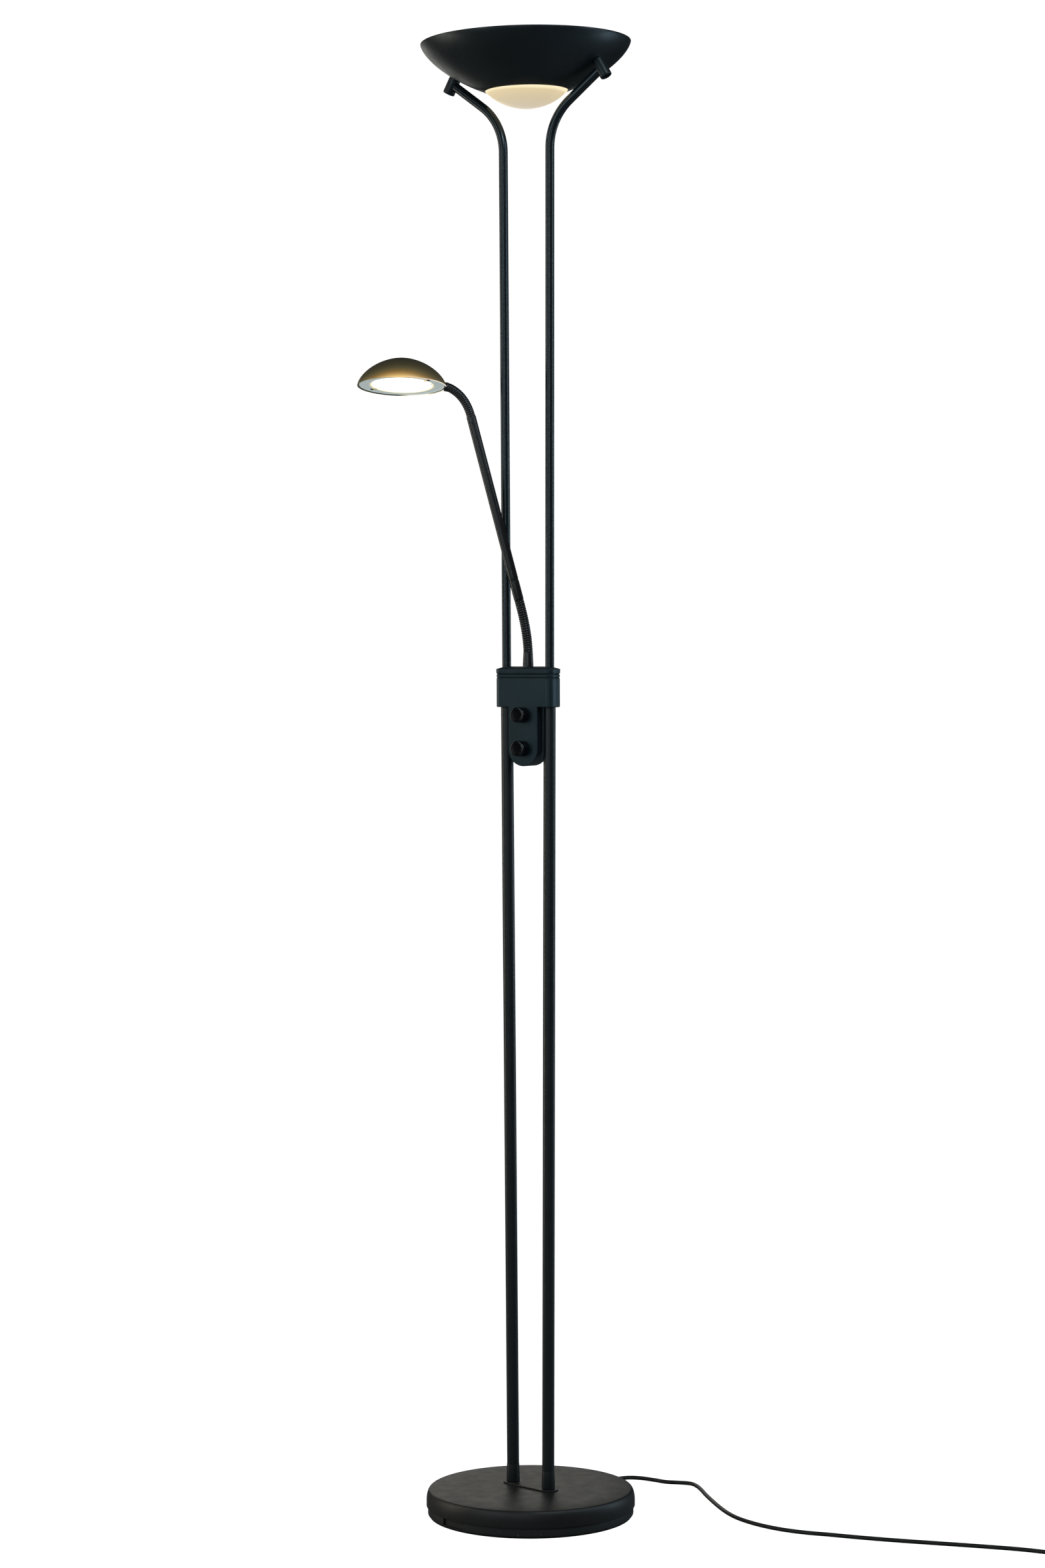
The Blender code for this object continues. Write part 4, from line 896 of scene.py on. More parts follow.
def build_base(looks):
    """Sole, tray with its notch, cover, foot plate and collars."""
    sole_r = SOLE_HIGH.x
    turned(
        "base_sole_fine",
        filleted([(0, 0), (sole_r, 0, 0.0004), (sole_r, SOLE_HIGH.z, 0.0004), (0, SOLE_HIGH.z)], 2),
        looks["foam"], steps=128,
    )
    sheet = TRAY_SHEET
    low, high = TRAY_LOW.z, TRAY_HIGH.z
    tray = tool_object(
        turned_shape(
            filleted([
                (0, low), (TRAY_R, low, 0.0016), (TRAY_R, high, 0.0003), (TRAY_R - sheet, high, 0.0003),
                (TRAY_R - sheet, low + sheet, 0.0008), (0, low + sheet),
            ]),
            160,
        )
    )
    place = Matrix.Rotation(NOTCH_ANGLE, 4, "Z") @ Matrix.Translation((TRAY_R, 0, NOTCH_Z))
    mesh = combined(tray, [("DIFFERENCE", tool_object(block_shape(place, NOTCH_SIZE)))])
    dress(bpy.data.objects.new("base_tray_fine", mesh), looks["tray"])

    flat_r, edge_h = 0.092, 0.0332
    round_r, round_z = 0.005, 0.014
    wall = 0.0015
    skirt = COVER_LOW.z
    edge_r = BASE_R - round_r

    def line(shrink):
        slope = [
            (
                flat_r + (edge_r - flat_r) * i / 8, BASE_H - (BASE_H - edge_h) * (i / 8) ** 2,
            ) for i in range(9)
        ]
        rounding = [
            (
                edge_r + round_r * math.sin(math.pi / 2 * i / 14),
                edge_h - round_z * (1 - math.cos(math.pi / 2 * i / 14)),
            ) for i in range(1, 15)
        ]
        return [(radius - shrink, height - shrink) for radius, height in slope + rounding]

    profile = [(0, BASE_H)] + line(0)
    profile += filleted(
        [line(0)[-1], (BASE_R, skirt, 0.0005), (BASE_R - wall, skirt, 0.0005), line(wall)[-1]]
    )[1:-1]
    profile += line(wall)[::-1] + [(0, BASE_H - wall)]
    turned("base_cover_fine", profile, looks["base"], steps=200)

    half = POLE_SPACING / 2
    plate_r = 0.012
    outline = arc((half, 0), plate_r, -90, 90, 24) + arc((-half, 0), plate_r, 90, 270, 24)
    shape = bmesh.new()
    rows = [
        [shape.verts.new((x * s, y * s, z)) for x, y in outline]
        for s, z in ((1, PLATE_LOW.z), (1, PLATE_HIGH.z - 0.0004), (0.995, PLATE_HIGH.z))
    ]
    close_rows(shape, rows)
    bmesh.ops.rotate(shape, verts=shape.verts, matrix=Matrix.Rotation(FOOT_TURN, 3, "Z"))
    add_piece("foot_plate_fine", shape, looks["base"])

    collar_r = (COLLAR_HIGH.x - COLLAR_LOW.x) / 2
    for side, label in BOTH_SIDES:
        centre = foot_point(side, 0)
        turned(
            f"foot_collar_{label}_fine",
            filleted([
                (0.003, COLLAR_LOW.z), (collar_r + 0.0004, COLLAR_LOW.z, 0.0003),
                (collar_r - 0.0001, COLLAR_HIGH.z, 0.0002), (0.003, COLLAR_HIGH.z),
            ]),
            looks["pole"], steps=64, place=Matrix.Translation(centre),
        )
    turned(
        "lead_strain_relief_fine", strain_relief_profile(), looks["pvc"], steps=40,
        place=facing((0, TRAY_R, LEAD_EXIT[2]), (0, 1, 0)),
    )


def strain_relief_profile():
    """A tapered sleeve with rings, from its flange inside the tray to its thin end."""
    profile = [(0, -0.006), (0.0042, -0.006), (0.0042, -0.0024), (0.0033, -0.0022), (0.0033, 0.0003)]
    profile += filleted([(0.0046, 0.0004, 0.0003), (0.0046, 0.0030, 0.0006), (0.0038, 0.0034)])[:-1]
    rings = 8
    for i in range(rings):
        low = 0.0042 + (0.0295 - 0.0042) * i / rings
        high = 0.0042 + (0.0295 - 0.0042) * (i + 1) / rings
        outer = 0.0042 - 0.0012 * i / rings
        inner = outer - 0.0007
        profile += [(inner, low), (inner, low + 0.0008), (outer, low + 0.0011), (outer, high - 0.0004)]
    profile += [(0.0029, 0.0299), (0, 0.0299)]
    return profile


# Poles --------------------------------------------------------------------------------------


def foot_point(side, height):
    """The middle of a lower pole, at a height near its foot."""
    reach = side * POLE_SPACING / 2
    return Vector((reach * math.cos(FOOT_TURN), reach * math.sin(FOOT_TURN), height))


def bowl_place():
    """The bowl's placement, with its origin at the middle of the rim."""
    centre = Vector((0, 0, RIM_HEIGHT))
    pivot = Vector((0, 0, JOINT_Z - RIM_HEIGHT))
    tilt = Matrix.Rotation(BOWL_TILT, 4, "Y")
    return Matrix.Translation(centre + pivot) @ tilt @ Matrix.Translation(-pivot)


def upper_path(side):
    """The upper pole's middle line, from inside the box to its bowl joint."""
    start = Vector((side * POLE_SPACING / 2, 0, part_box("upper_pole_left")[0].z))
    corner = Vector((side * POLE_SPACING_TOP / 2, 0, UPPER_BEND_Z))
    centre = bowl_place() @ Vector((side * JOINT_OUT, 0, JOINT_Z - RIM_HEIGHT))
    end = centre + (corner - centre).normalized() * 0.0043
    before = (start - corner).normalized()
    after = (end - corner).normalized()
    half = before.angle(after) / 2
    middle = corner + (before + after).normalized() * (UPPER_BEND_R / math.sin(half))
    reach = UPPER_BEND_R / math.tan(half)
    first = corner + before * reach - middle
    turn = math.pi - 2 * half
    axis = first.cross(corner + after * reach - middle).normalized()
    steps = 28
    bend = [middle + Matrix.Rotation(turn * i / steps, 3, axis) @ first for i in range(steps + 1)]
    run = [start.lerp(bend[0], i / 12) for i in range(12)]
    return run + bend + [end]


def build_poles(looks):
    """Two lower poles, with a slight twist from foot to box, and two upper poles that bend outwards."""
    for side, label in BOTH_SIDES:
        low, high = (corner.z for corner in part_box(f"lower_pole_{label}"))
        foot = foot_point(side, low)
        top = Vector((side * POLE_SPACING / 2, 0, high))
        path = [foot.lerp(top, i / 16) for i in range(17)]
        shape = tube_shape(path, [LOWER_POLE_R] * len(path), 48)
        add_piece(f"lower_pole_{label}_fine", shape, looks["pole"])
        path = upper_path(side)
        shape = tube_shape(path, [UPPER_POLE_R] * len(path), 40)
        add_piece(f"upper_pole_{label}_fine", shape, looks["upper_pole"])


# Control box --------------------------------------------------------------------------------


def rounded_rectangle(width, depth, corner, steps=10):
    """Points round a rectangle with rounded corners, about the origin."""
    points = []
    for quarter in range(4):
        sign_x = 1 if quarter in (0, 3) else -1
        sign_y = 1 if quarter < 2 else -1
        for i in range(steps + 1):
            angle = math.pi / 2 * (quarter + i / steps)
            points.append((
                sign_x * (width / 2 - corner) + corner * math.cos(angle),
                sign_y * (depth / 2 - corner) + corner * math.sin(angle),
            ))
    return points


def stacked_shape(rings, steps=10):
    """A closed solid through rounded rectangles, as (width, depth, corner, height) from the bottom up."""
    shape = bmesh.new()
    rows = []
    for width, depth, corner, height in rings:
        outline = rounded_rectangle(width, depth, max(corner, 0.0004), steps)
        rows.append([shape.verts.new((x, y, height)) for x, y in outline])
    return close_rows(shape, rows)


def box_rows():
    """The box's outline as (inset, height above its bottom): rounded foot, two grooves, crowned top."""
    rows = []
    foot = 0.0013
    for i in range(5):
        angle = math.pi / 2 * i / 4
        rows.append((foot * (1 - math.sin(angle)), foot * (1 - math.cos(angle))))
    rows.append((0.0, 0.020))
    for middle in (0.0361, 0.0403):
        rows += groove_rows(middle, 0.0008, 0.0010)
    rows += [(-0.0003, 0.0416), (-0.0005, 0.0458)]
    for i in range(1, 5):
        angle = math.pi / 2 * i / 4
        rows.append((-0.0005 + 0.0009 * (1 - math.cos(angle)), 0.0458 + 0.0009 * math.sin(angle)))
    for i in range(1, 9):
        rows.append((0.0004 + 0.0126 * i / 8, 0.0467 + 0.0016 * (1 - (1 - i / 8) ** 2)))
    return rows


def groove_rows(middle, depth, half_width):
    """A soft V groove around the box."""
    rows = []
    for i in range(7):
        along = -1 + 2 * i / 6
        rows.append((depth * math.cos(math.pi / 2 * along) ** 1.5, middle + half_width * along))
    return rows


def tongue_shape(shrink, depth, edge):
    """The tongue that carries the knobs, its outline softened by a bevelled edge front and back."""
    top = BOX_BOTTOM + 0.010
    shape = bmesh.new()
    rows = []
    levels = [
        (
            edge * (1 - math.sin(math.pi / 2 * i / 3)), edge * (1 - math.cos(math.pi / 2 * i / 3)),
        ) for i in range(4)
    ]
    layers = [(inset, -depth / 2 + rise) for inset, rise in levels]
    layers += [(inset, depth / 2 - rise) for inset, rise in levels[::-1]]
    for inset, y in layers:
        half = TONGUE_W / 2 - shrink - inset
        bottom = arc((0, TONGUE_CENTRE_Z), half, 180, 360, 40)
        outline = [(-half, top)] + bottom + [(half, top)]
        rows.append([shape.verts.new((x, y, z)) for x, z in outline])
    return close_rows(shape, rows)


def bore_shape(centre, radius, along, length, steps=48):
    """A cylinder from a point along a direction, for cutting a hole."""
    return turned_shape([(0, 0), (radius, 0), (radius, length), (0, length)], steps, facing(centre, along))


def half_space(low_y, high_y):
    """A block that keeps the part of the box from low_y to high_y."""
    place = Matrix.Translation((0, (low_y + high_y) / 2, 0.99))
    return block_shape(place, (0.12, high_y - low_y, 0.2))


def build_box(looks):
    """Front and rear shells, cut from one outer form along the seam, and the knobs."""
    hollow = BOX_WALL
    for label, low_y, high_y in (("front", -0.05, SEAM_Y + 0.0020), ("rear", SEAM_Y + 0.0028, 0.05)):
        rings = [
            (BOX_W - 2 * inset, BOX_D - 2 * inset, BOX_CORNER_R - inset, BOX_BOTTOM + height)
            for inset, height in box_rows()
        ]
        outer = stacked_shape(rings)
        for vert in outer.verts:
            share = max(0.0, (vert.co.z - BOX_BOTTOM - 0.0455) / 0.0028)
            vert.co.z += 0.0026 * share * (1 - (vert.co.x / (BOX_W / 2)) ** 2)
        outer = tool_object(outer)
        inner_w, inner_d = BOX_W - 2 * hollow - 0.001, BOX_D - 2 * hollow - 0.0016
        inner = stacked_shape([
            (inner_w, inner_d, BOX_CORNER_R - hollow, BOX_BOTTOM + hollow),
            (inner_w, inner_d, BOX_CORNER_R - hollow, BOX_TOP - hollow - 0.0012),
        ])
        steps = [
            ("UNION", tool_object(tongue_shape(0, BOX_D - 0.00004, 0.0009))),
            ("DIFFERENCE", tool_object(inner)),
            ("DIFFERENCE", tool_object(tongue_shape(hollow, BOX_D - 2 * hollow, 0.0002))),
        ]
        for x, radius in (
            (-POLE_SPACING / 2, UPPER_POLE_R + 0.0004), (POLE_SPACING / 2, UPPER_POLE_R + 0.0004),
            (0, 0.0068),
        ):
            steps.append(("DIFFERENCE", tool_object(bore_shape((x, 0, BOX_TOP - 0.008), radius, UP, 0.02))))
        for x in (-POLE_SPACING / 2, POLE_SPACING / 2):
            shape = bore_shape((x, 0, BOX_BOTTOM - 0.005), LOWER_POLE_R + 0.0004, UP, 0.010)
            steps.append(("DIFFERENCE", tool_object(shape)))
        steps.append(("INTERSECT", tool_object(half_space(low_y, high_y))))
        mesh = combined(outer, steps)
        shell = bpy.data.objects.new(f"box_{label}_fine", mesh)
        dress(shell, looks["box"], sharp=28)
        weigh_normals(shell)
    for level in ("upper", "lower"):
        low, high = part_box(f"knob_{level}")
        centre = (low + high) / 2
        radius = (high.x - low.x) / 2
        length = high.y - low.y
        turned(
            f"knob_{level}_fine",
            filleted([
                (0, 0), (radius - 0.0005, 0, 0.0003), (radius, 0.0012, 0.0006),
                (radius - 0.0004, length, 0.0016), (0.0068, length, 0.0003),
                (0.0066, length - 0.00015, 0.0003), (0, length - 0.00015),
            ]),
            looks["gloss"], body=f"{level}_dimmer",
            place=facing((centre.x, high.y, centre.z), (0, -1, 0)),
        )
    for level in ("upper", "lower"):
        low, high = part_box(f"box_screw_{level}")
        centre = (low + high) / 2
        screw(
            f"box_screw_{level}_fine", looks["steel"], "stand", (centre.x, high.y - 0.0022, centre.z),
            (0, 1, 0), 0.0032, 0.0022, 0.0085,
        )


def weigh_normals(piece):
    """Keeps flat faces flat in shading where they meet rounded edges."""
    modifier = piece.modifiers.new("normals", "WEIGHTED_NORMAL")
    modifier.keep_sharp = True


def screw(name, look, body, place, along, head_r, head_h, shank):
    """A pan head screw with a cross recess."""
    profile = [(0, head_h)]
    for i in range(1, 7):
        angle = math.pi / 2 * i / 6
        profile.append((head_r * math.sin(angle), head_h * (0.35 + 0.65 * math.cos(angle))))
    profile += [(head_r, 0), (head_r * 0.45, 0), (head_r * 0.45, -shank), (0, -shank)]
    turn = facing(place, along)
    head = tool_object(turned_shape(profile, 32, turn))
    steps = []
    for quarter in range(2):
        cross = Matrix.Rotation(math.pi / 2 * quarter + RECESS_TURN, 4, "Z")
        bar = turn @ cross @ Matrix.Translation((0, 0, head_h))
        size = (head_r * 1.1, head_r * 0.24, head_h * 1.1)
        steps.append(("DIFFERENCE", tool_object(block_shape(bar, size))))
    mesh = combined(head, steps)
    return dress(bpy.data.objects.new(name, mesh), look, body)


# Reading arm --------------------------------------------------------------------------------


def joint_point(name):
    """Where a joint is when the lamp is at rest."""
    return Vector(joints[name]["pos_m"])


def neck_joints(label):
    """The neck's hinge points from its foot to its end, with the bodies on either side of each."""
    order = [f"{label}_neck_{kind}_{number}" for number in (1, 2, 3) for kind in ("bend", "sway")][:5]
    return [(joint_point(name), joints[name]["parent"], joints[name]["child"]) for name in order]


def ribbed_radius(distance, radius, pitch, depth):
    """The radius of a gooseneck at a distance along it: round ribs with narrow grooves."""
    part = (distance / pitch) % 1
    return radius - depth * (1 - math.sin(math.pi * part) ** 0.6)


def build_neck(label, looks, start, end, radius, pitch, depth):
    """A ribbed gooseneck, one length for each hinge, each curving through its hinge point."""
    hinges = neck_joints(label)
    points = [point for point, _, _ in hinges]
    middles = [start] + [(a + b) / 2 for a, b in zip(points, points[1:])] + [end]
    distance = 0.0
    for number, (corner, parent, child) in enumerate(hinges):
        first, last = middles[number], middles[number + 1]
        path, radii = [], []
        steps = max(8, round((last - first).length / pitch * 12))
        spot = first
        for i in range(steps + 1):
            t = i / steps
            point = first * (1 - t) ** 2 + corner * (2 * t * (1 - t)) + last * t**2
            distance += (point - spot).length
            spot = point
            path.append(point)
            radii.append(ribbed_radius(distance, radius, pitch, depth))
        shape = tube_shape(path, radii, 32, SIDE)
        piece = add_piece(
            f"{label}_neck_{number + 1}_fine", shape, looks["neck"], body=None, stands_for=(), sharp=50,
        )
        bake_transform(piece)
        if number < 4:
            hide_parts(f"{label}_neck_link_{number + 1}")


def build_arm(looks):
    """Socket, lower neck, arm tube with its ferrule and dimple, upper neck and collar."""
    lower = [point for point, _, _ in neck_joints("lower")]
    upper = [point for point, _, _ in neck_joints("upper")]
    along = (upper[0] - lower[-1]).normalized()
    socket_top = BOX_TOP + 0.0192
    turned(
        "arm_socket_fine",
        filleted([
            (0, SOCKET_LOW.z), (0.0066, SOCKET_LOW.z), (0.0065, BOX_TOP + 0.0050, 0.004),
            (0.0058, socket_top, 0.0004), (0, socket_top),
        ]),
        looks["neck"], steps=64,
    )
    foot = lower[-1] + along * ARM_START
    build_neck("lower", looks, Vector((0, 0, socket_top - 0.0006)), foot, NECK_R + 0.0004, 0.0029, 0.0006)
    top = ARM_START + ARM_LENGTH
    tube = tool_object(
        turned_shape(
            filleted([
                (0, ARM_START), (ARM_R - 0.0008, ARM_START), (ARM_R, ARM_START + 0.0008, 0.0004),
                (ARM_R, ARM_START + FERRULE_LENGTH, 0.0005),
                (ARM_R - 0.0004, ARM_START + FERRULE_LENGTH + 0.0008, 0.0004),
                (ARM_R - 0.0001, ARM_START + FERRULE_LENGTH + 0.004, 0.001),
                (ARM_R - 0.0001, top, 0.0005), (0, top),
            ]),
            64, facing(lower[-1], along),
        )
    )
    dimple = lower[-1] + along * (top - 0.0085) + SIDE * ARM_R
    hole = bore_shape(dimple + SIDE * 0.002, 0.0012, -SIDE, 0.0065, 24)
    mesh = combined(tube, [("DIFFERENCE", tool_object(hole))])
    dress(bpy.data.objects.new("arm_tube_fine", mesh), looks["neck"], body="arm")
    start = lower[-1] + along * (top - 0.0004)
    place = head_place()
    centre = place @ Vector((0, 0, 0.012))
    inwards = (centre - upper[-1]).normalized()
    end = upper[-1] + inwards * 0.0028
    build_neck("upper", looks, start, end, UPPER_NECK_R + 0.0004, 0.0026, 0.0004)
    collar = turned_shape(
        filleted(
            [(0, 0.0020), (0.0054, 0.0020, 0.0004), (0.0056, 0.0032, 0.0003), (0.0056, 0.0066), (0, 0.0066)]
        ),
        48, facing(upper[-1], inwards),
    )
    dome = turned_shape([(0, -0.0006), (HEAD_R + 0.0001, -0.0006)] + head_line(-0.0001, 40), 96, place)
    mesh = combined(tool_object(collar), [("DIFFERENCE", tool_object(dome))])
    dress(bpy.data.objects.new("head_collar_fine", mesh), looks["neck"], body="reading_head")


# Reading head -------------------------------------------------------------------------------


def head_place():
    """The head's placement: local Z is the dome's axis, pointing away from the opening."""
    centre = OUT * HEAD_OUT + UP * HEAD_Z
    turn = Matrix.Rotation(HEAD_TIP, 4, SIDE) @ Matrix.Rotation(HEAD_TILT, 4, OUT)
    return Matrix.Translation(centre) @ turn


def head_line(shrink, steps):
    """The dome's outline from its rim to its top, as (radius, height)."""
    return [
        (
            (HEAD_R - shrink) * math.cos(math.pi / 2 * i / steps) ** 1.11,
            (HEAD_H - shrink) * math.sin(math.pi / 2 * i / steps) ** 1.28,
        ) for i in range(steps)
    ] + [(0, HEAD_H - shrink)]


def build_head(looks):
    """Dome, ring and lit window, with two screws and two clips on the ring."""
    place = head_place()
    outer = head_line(0, 40)
    inner = head_line(HEAD_SHEET, 24)
    lip = [
        (HEAD_R - HEAD_SHEET, 0), (HEAD_R - HEAD_SHEET * 0.7, -0.0003),
        (HEAD_R - HEAD_SHEET * 0.3, -0.0003),
    ]
    turned(
        "head_dome_fine", outer + inner[::-1] + lip, looks["dome"], body="reading_head", steps=144,
        place=place, sharp=40,
    )
    low = 0.0016
    turned(
        "head_ring_fine",
        filleted([
            (WINDOW_R, low + 0.0010, 0.0004), (WINDOW_R + 0.0012, low + 0.0004, 0.0004),
            (RING_R - 0.0016, low, 0.0006), (RING_R - 0.0006, low - 0.0010, 0.0003),
            (RING_R, low - 0.0008, 0.0003), (RING_R, low + 0.0012), (WINDOW_R, low + 0.0020),
        ]),
        looks["ring"], body="reading_head", steps=128, place=place,
    )
    turned(
        "head_diffuser_fine",
        filleted([
            (0, 0.0030), (WINDOW_R - 0.0008, 0.0034, 0.0006), (WINDOW_R - 0.0004, 0.0058, 0.0004),
            (0, 0.0058),
        ]),
        looks["window"], body="reading_head", place=place,
    )
    nodes["head_led_board"].data.materials[0] = looks["aluminium"]
    for number, angle in enumerate(CLIP_ANGLES, 1):
        direction = Vector((math.cos(math.radians(angle)), math.sin(math.radians(angle)), 0))
        spot = place @ (direction * 0.0450 + UP * 0.0016)
        screw(
            f"head_screw_{number}_fine", looks["dark_steel"], "reading_head", spot, -(place.to_3x3() @ UP),
            0.0020, 0.0012, 0.0008,
        )
        lug = place @ Matrix.Rotation(math.radians(angle), 4, "Z") @ Matrix.Translation((CLIP_OUT, 0, 0.0012))
        shape = block_shape(lug, CLIP_SIZE)
        bmesh.ops.bevel(shape, geom=shape.edges[:], offset=0.00018, segments=2, affect="EDGES")
        clip = add_piece(f"head_clip_{number}", shape, looks["brass"], body="reading_head")
        weigh_normals(clip)


# Bowl ---------------------------------------------------------------------------------------


def bowl_line(radius, depth, hole, steps):
    """The bowl's outline from its rim down to its hole, as (radius, height)."""
    end = math.acos((hole / radius) ** (BOWL_POWER / 2))
    return [
        (
            radius * math.cos(end * i / steps) ** (2 / BOWL_POWER),
            -depth * math.sin(end * i / steps) ** (2 / BOWL_POWER),
        ) for i in range(steps + 1)
    ]


def bowl_depth_inside(radius):
    """The height of the bowl's inner face at a radius, from the rim."""
    share = (radius / (BOWL_R - BOWL_SHEET)) ** BOWL_POWER
    return -(BOWL_DEPTH - BOWL_SHEET) * (1 - share) ** (1 / BOWL_POWER)


def build_bowl(looks):
    """The bowl with its glass below, its cover above and a joint on either side."""
    place = bowl_place()
    outer = bowl_line(BOWL_R, BOWL_DEPTH, BOWL_HOLE_R, 48)
    inner = bowl_line(BOWL_R - BOWL_SHEET, BOWL_DEPTH - BOWL_SHEET, BOWL_HOLE_R, 40)
    rim = [(BOWL_R - BOWL_SHEET * 0.75, 0.0005), (BOWL_R - BOWL_SHEET * 0.25, 0.0005)]
    hole = filleted([outer[-1], (BOWL_HOLE_R, outer[-1][1]), inner[-1]])
    turned(
        "bowl_fine", outer[:-1] + hole + inner[-2::-1] + rim, looks["black"], steps=224, place=place,
        sharp=45,
    )
    hole_z = outer[-1][1]
    sphere_r = (GLASS_R**2 + GLASS_DROP**2) / (2 * GLASS_DROP)
    centre_z = hole_z - GLASS_DROP + sphere_r
    half = math.asin(GLASS_R / sphere_r)
    wall = GLASS_WALL
    inside_half = math.asin((GLASS_R - wall) / (sphere_r - wall))
    flange = bowl_depth_inside(FLANGE_R) + REST_GAP
    cap = [
        (
            sphere_r * math.sin(half * i / 32), centre_z - sphere_r * math.cos(half * i / 32),
        ) for i in range(33)
    ]
    inside = [
        (
            (sphere_r - wall) * math.sin(inside_half * i / 20),
            centre_z - (sphere_r - wall) * math.cos(inside_half * i / 20),
        ) for i in range(21)
    ]
    turned(
        "bowl_glass_fine",
        cap + [
            (GLASS_R, flange), (FLANGE_R, flange), (FLANGE_R, flange + wall), (GLASS_R - wall, flange + wall),
        ] + inside[::-1],
        looks["glass"], steps=144, place=place,
    )
    cover_low = bowl_depth_inside(UPLIGHT_R) + REST_GAP
    under = [(UPLIGHT_R * i / 24, cover_low + UPLIGHT_CROWN * (1 - (i / 24) ** 2)) for i in range(25)]
    over = [(radius, height + UPLIGHT_SHEET) for radius, height in under]
    turned(
        "top_diffuser_fine", under + over[::-1], looks["uplight"], steps=144,
        place=place,
    )
    for side, label in BOTH_SIDES:
        build_bowl_joint(side, label, place, looks)


def build_bowl_joint(side, label, place, looks):
    """A round joint under the bowl, trimmed to the bowl's form, with a socket screw in its end."""
    along = Vector((side * math.cos(JOINT_SLOPE), 0, -math.sin(JOINT_SLOPE)))
    centre = Vector((side * JOINT_OUT, 0, JOINT_Z - RIM_HEIGHT))
    start = centre - along * (JOINT_LENGTH / 2)
    here = place @ facing(start, along)
    body = tool_object(
        turned_shape(
            filleted([
                (0, 0), (JOINT_R, 0), (JOINT_R, JOINT_LENGTH, 0.0009), (0.0050, JOINT_LENGTH, 0.0003),
                (0.0050, JOINT_LENGTH - 0.0024, 0.0003), (0, JOINT_LENGTH - 0.0024),
            ]),
            64, here,
        )
    )
    line = bowl_line(BOWL_R + 0.0001, BOWL_DEPTH + 0.0001, BOWL_HOLE_R, 40)
    form = turned_shape([(0, 0.002), (BOWL_R + 0.0001, 0.002)] + line + [(0, line[-1][1])], 128, place)
    mesh = combined(body, [("DIFFERENCE", tool_object(form))])
    joint = bpy.data.objects.new(f"bowl_joint_{label}_fine", mesh)
    dress(joint, looks["black"])
    hexagon = turned_shape(
        [(0, 0), (0.0016, 0), (0.0016, 0.004), (0, 0.004)], 6,
        here @ Matrix.Translation((0, 0, JOINT_LENGTH - 0.0030)),
    )
    head = tool_object(
        turned_shape(
            filleted([
                (0, JOINT_LENGTH - 0.0026), (0.0036, JOINT_LENGTH - 0.0026),
                (0.0036, JOINT_LENGTH - 0.0008, 0.0004), (0, JOINT_LENGTH - 0.0008),
            ]),
            40, here,
        )
    )
    mesh = combined(head, [("DIFFERENCE", tool_object(hexagon))])
    cap = bpy.data.objects.new(f"bowl_joint_{label}_screw", mesh)
    dress(cap, looks["dark_steel"])
    screw(
        f"bowl_screw_{label}_fine", looks["steel"], "stand", here @ Vector((0, 0, -0.0008)),
        -(here.to_3x3() @ UP), 0.0040, 0.0020, 0.0060,
    )


# Inside pieces ------------------------------------------------------------------------------


def dress_hidden(looks):
    """Materials for the CAD nodes that stay as they are, inside the lamp."""
    wanted = {
        "base_ballast": "iron", "dimmer_board": "board", "led_board": "board", "led_driver": "white",
        "led_plate": "aluminium", "pole_block": "zinc",
    }
    for label in ("left", "right"):
        wanted[f"pole_stud_{label}"] = "zinc"
        wanted[f"stud_nut_{label}"] = "zinc"
    for level in ("upper", "lower"):
        wanted[f"dimmer_pot_{level}"] = "pot"
        wanted[f"pot_shaft_{level}"] = "steel"
    for node, look in wanted.items():
        nodes[node].data.materials.clear()
        nodes[node].data.materials.append(looks[look])


# Stage --------------------------------------------------------------------------------------


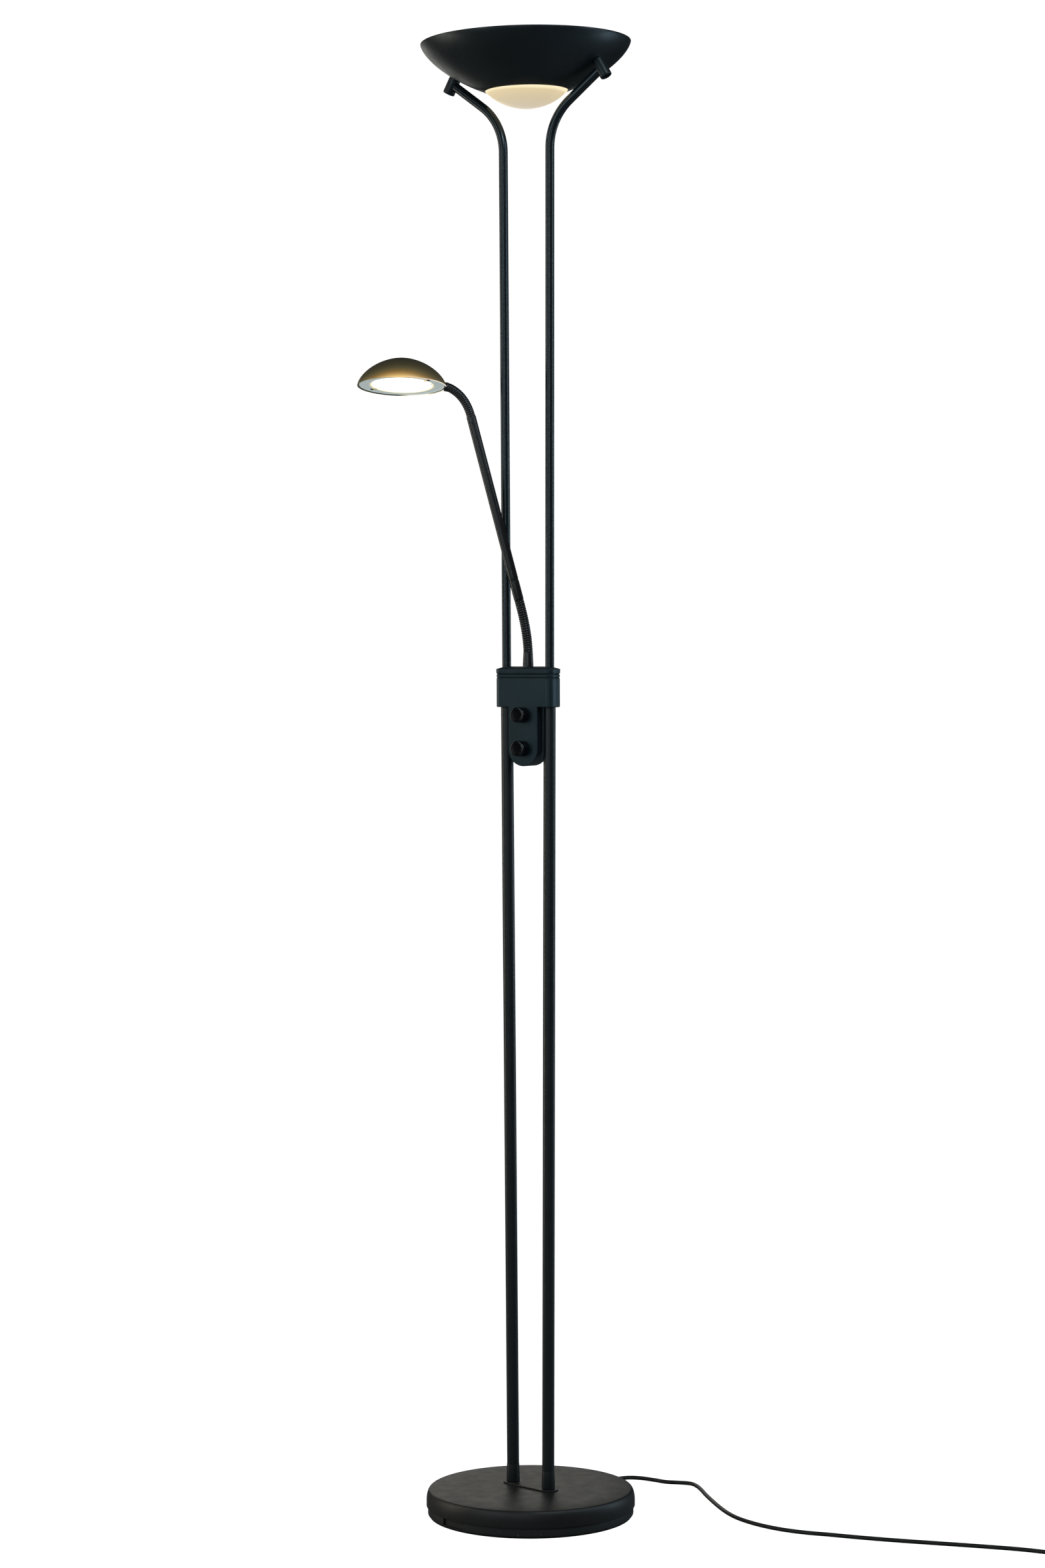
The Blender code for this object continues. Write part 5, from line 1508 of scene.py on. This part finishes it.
def add_stage():
    """A pale floor that runs on past the lamp, and a white surround."""
    shape = bmesh.new()
    bmesh.ops.create_grid(shape, x_segments=2, y_segments=2, size=12)
    mesh = bpy.data.meshes.new("floor")
    shape.to_mesh(mesh)
    shape.free()
    floor = bpy.data.objects.new("floor", mesh)
    floor.location = (0, 0, -0.0002)
    bpy.context.collection.objects.link(floor)
    look = Look("floor_white", 0.9, Specular_IOR_Level=0.1)
    look.shader.inputs["Base Color"].default_value = (0.30, 0.30, 0.30, 1)
    look.shader.inputs["Emission Color"].default_value = (1, 1, 1, 1)
    seen = look.node("ShaderNodeLightPath").outputs["Is Camera Ray"]
    look.link(look.maths("MULTIPLY", seen, FLOOR_GLOW), look.shader.inputs["Emission Strength"])
    floor.data.materials.append(look.material)

    world = bpy.data.worlds.new("world")
    world.use_nodes = True
    tree = world.node_tree
    around = tree.nodes["Background"]
    around.inputs["Color"].default_value = (0.93, 0.96, 1, 1)
    around.inputs["Strength"].default_value = SURROUND
    backdrop = tree.nodes.new("ShaderNodeBackground")
    backdrop.inputs["Strength"].default_value = 1.05
    backdrop.inputs["Color"].default_value = (1, 1, 1, 1)
    mixed = tree.nodes.new("ShaderNodeMixShader")
    path = tree.nodes.new("ShaderNodeLightPath")
    tree.links.new(path.outputs["Is Camera Ray"], mixed.inputs["Fac"])
    tree.links.new(around.outputs["Background"], mixed.inputs[1])
    tree.links.new(backdrop.outputs["Background"], mixed.inputs[2])
    tree.links.new(mixed.outputs["Shader"], tree.nodes["World Output"].inputs["Surface"])
    bpy.context.scene.world = world
    bpy.context.scene.view_settings.view_transform = "Standard"


def add_light(name, place, target, size, power, colour):
    """A rectangular soft light that faces a target; size is its width and height."""
    data = bpy.data.lights.new(name, "AREA")
    data.shape = "RECTANGLE"
    data.size, data.size_y = size
    data.energy = power
    data.color = colour
    light = bpy.data.objects.new(name, data)
    place = Vector(place)
    turn = (Vector(target) - place).to_track_quat("-Z", "Y")
    light.matrix_world = Matrix.Translation(place) @ turn.to_matrix().to_4x4()
    light.visible_camera = False
    bpy.context.collection.objects.link(light)
    return light


def add_lights():
    """The studio's soft lights, each facing the middle of the lamp."""
    for name, heading, distance, height, size, power, colour in STUDIO_LIGHTS:
        heading = math.radians(heading)
        place = (distance * math.cos(heading), distance * math.sin(heading), height)
        add_light(name, place, MIDDLE, size, power, colour)


add_camera()
looks = make_looks()
build_lead(looks)
build_base(looks)
build_poles(looks)
build_box(looks)
build_arm(looks)
build_head(looks)
build_bowl(looks)
dress_hidden(looks)
add_stage()
add_lights()
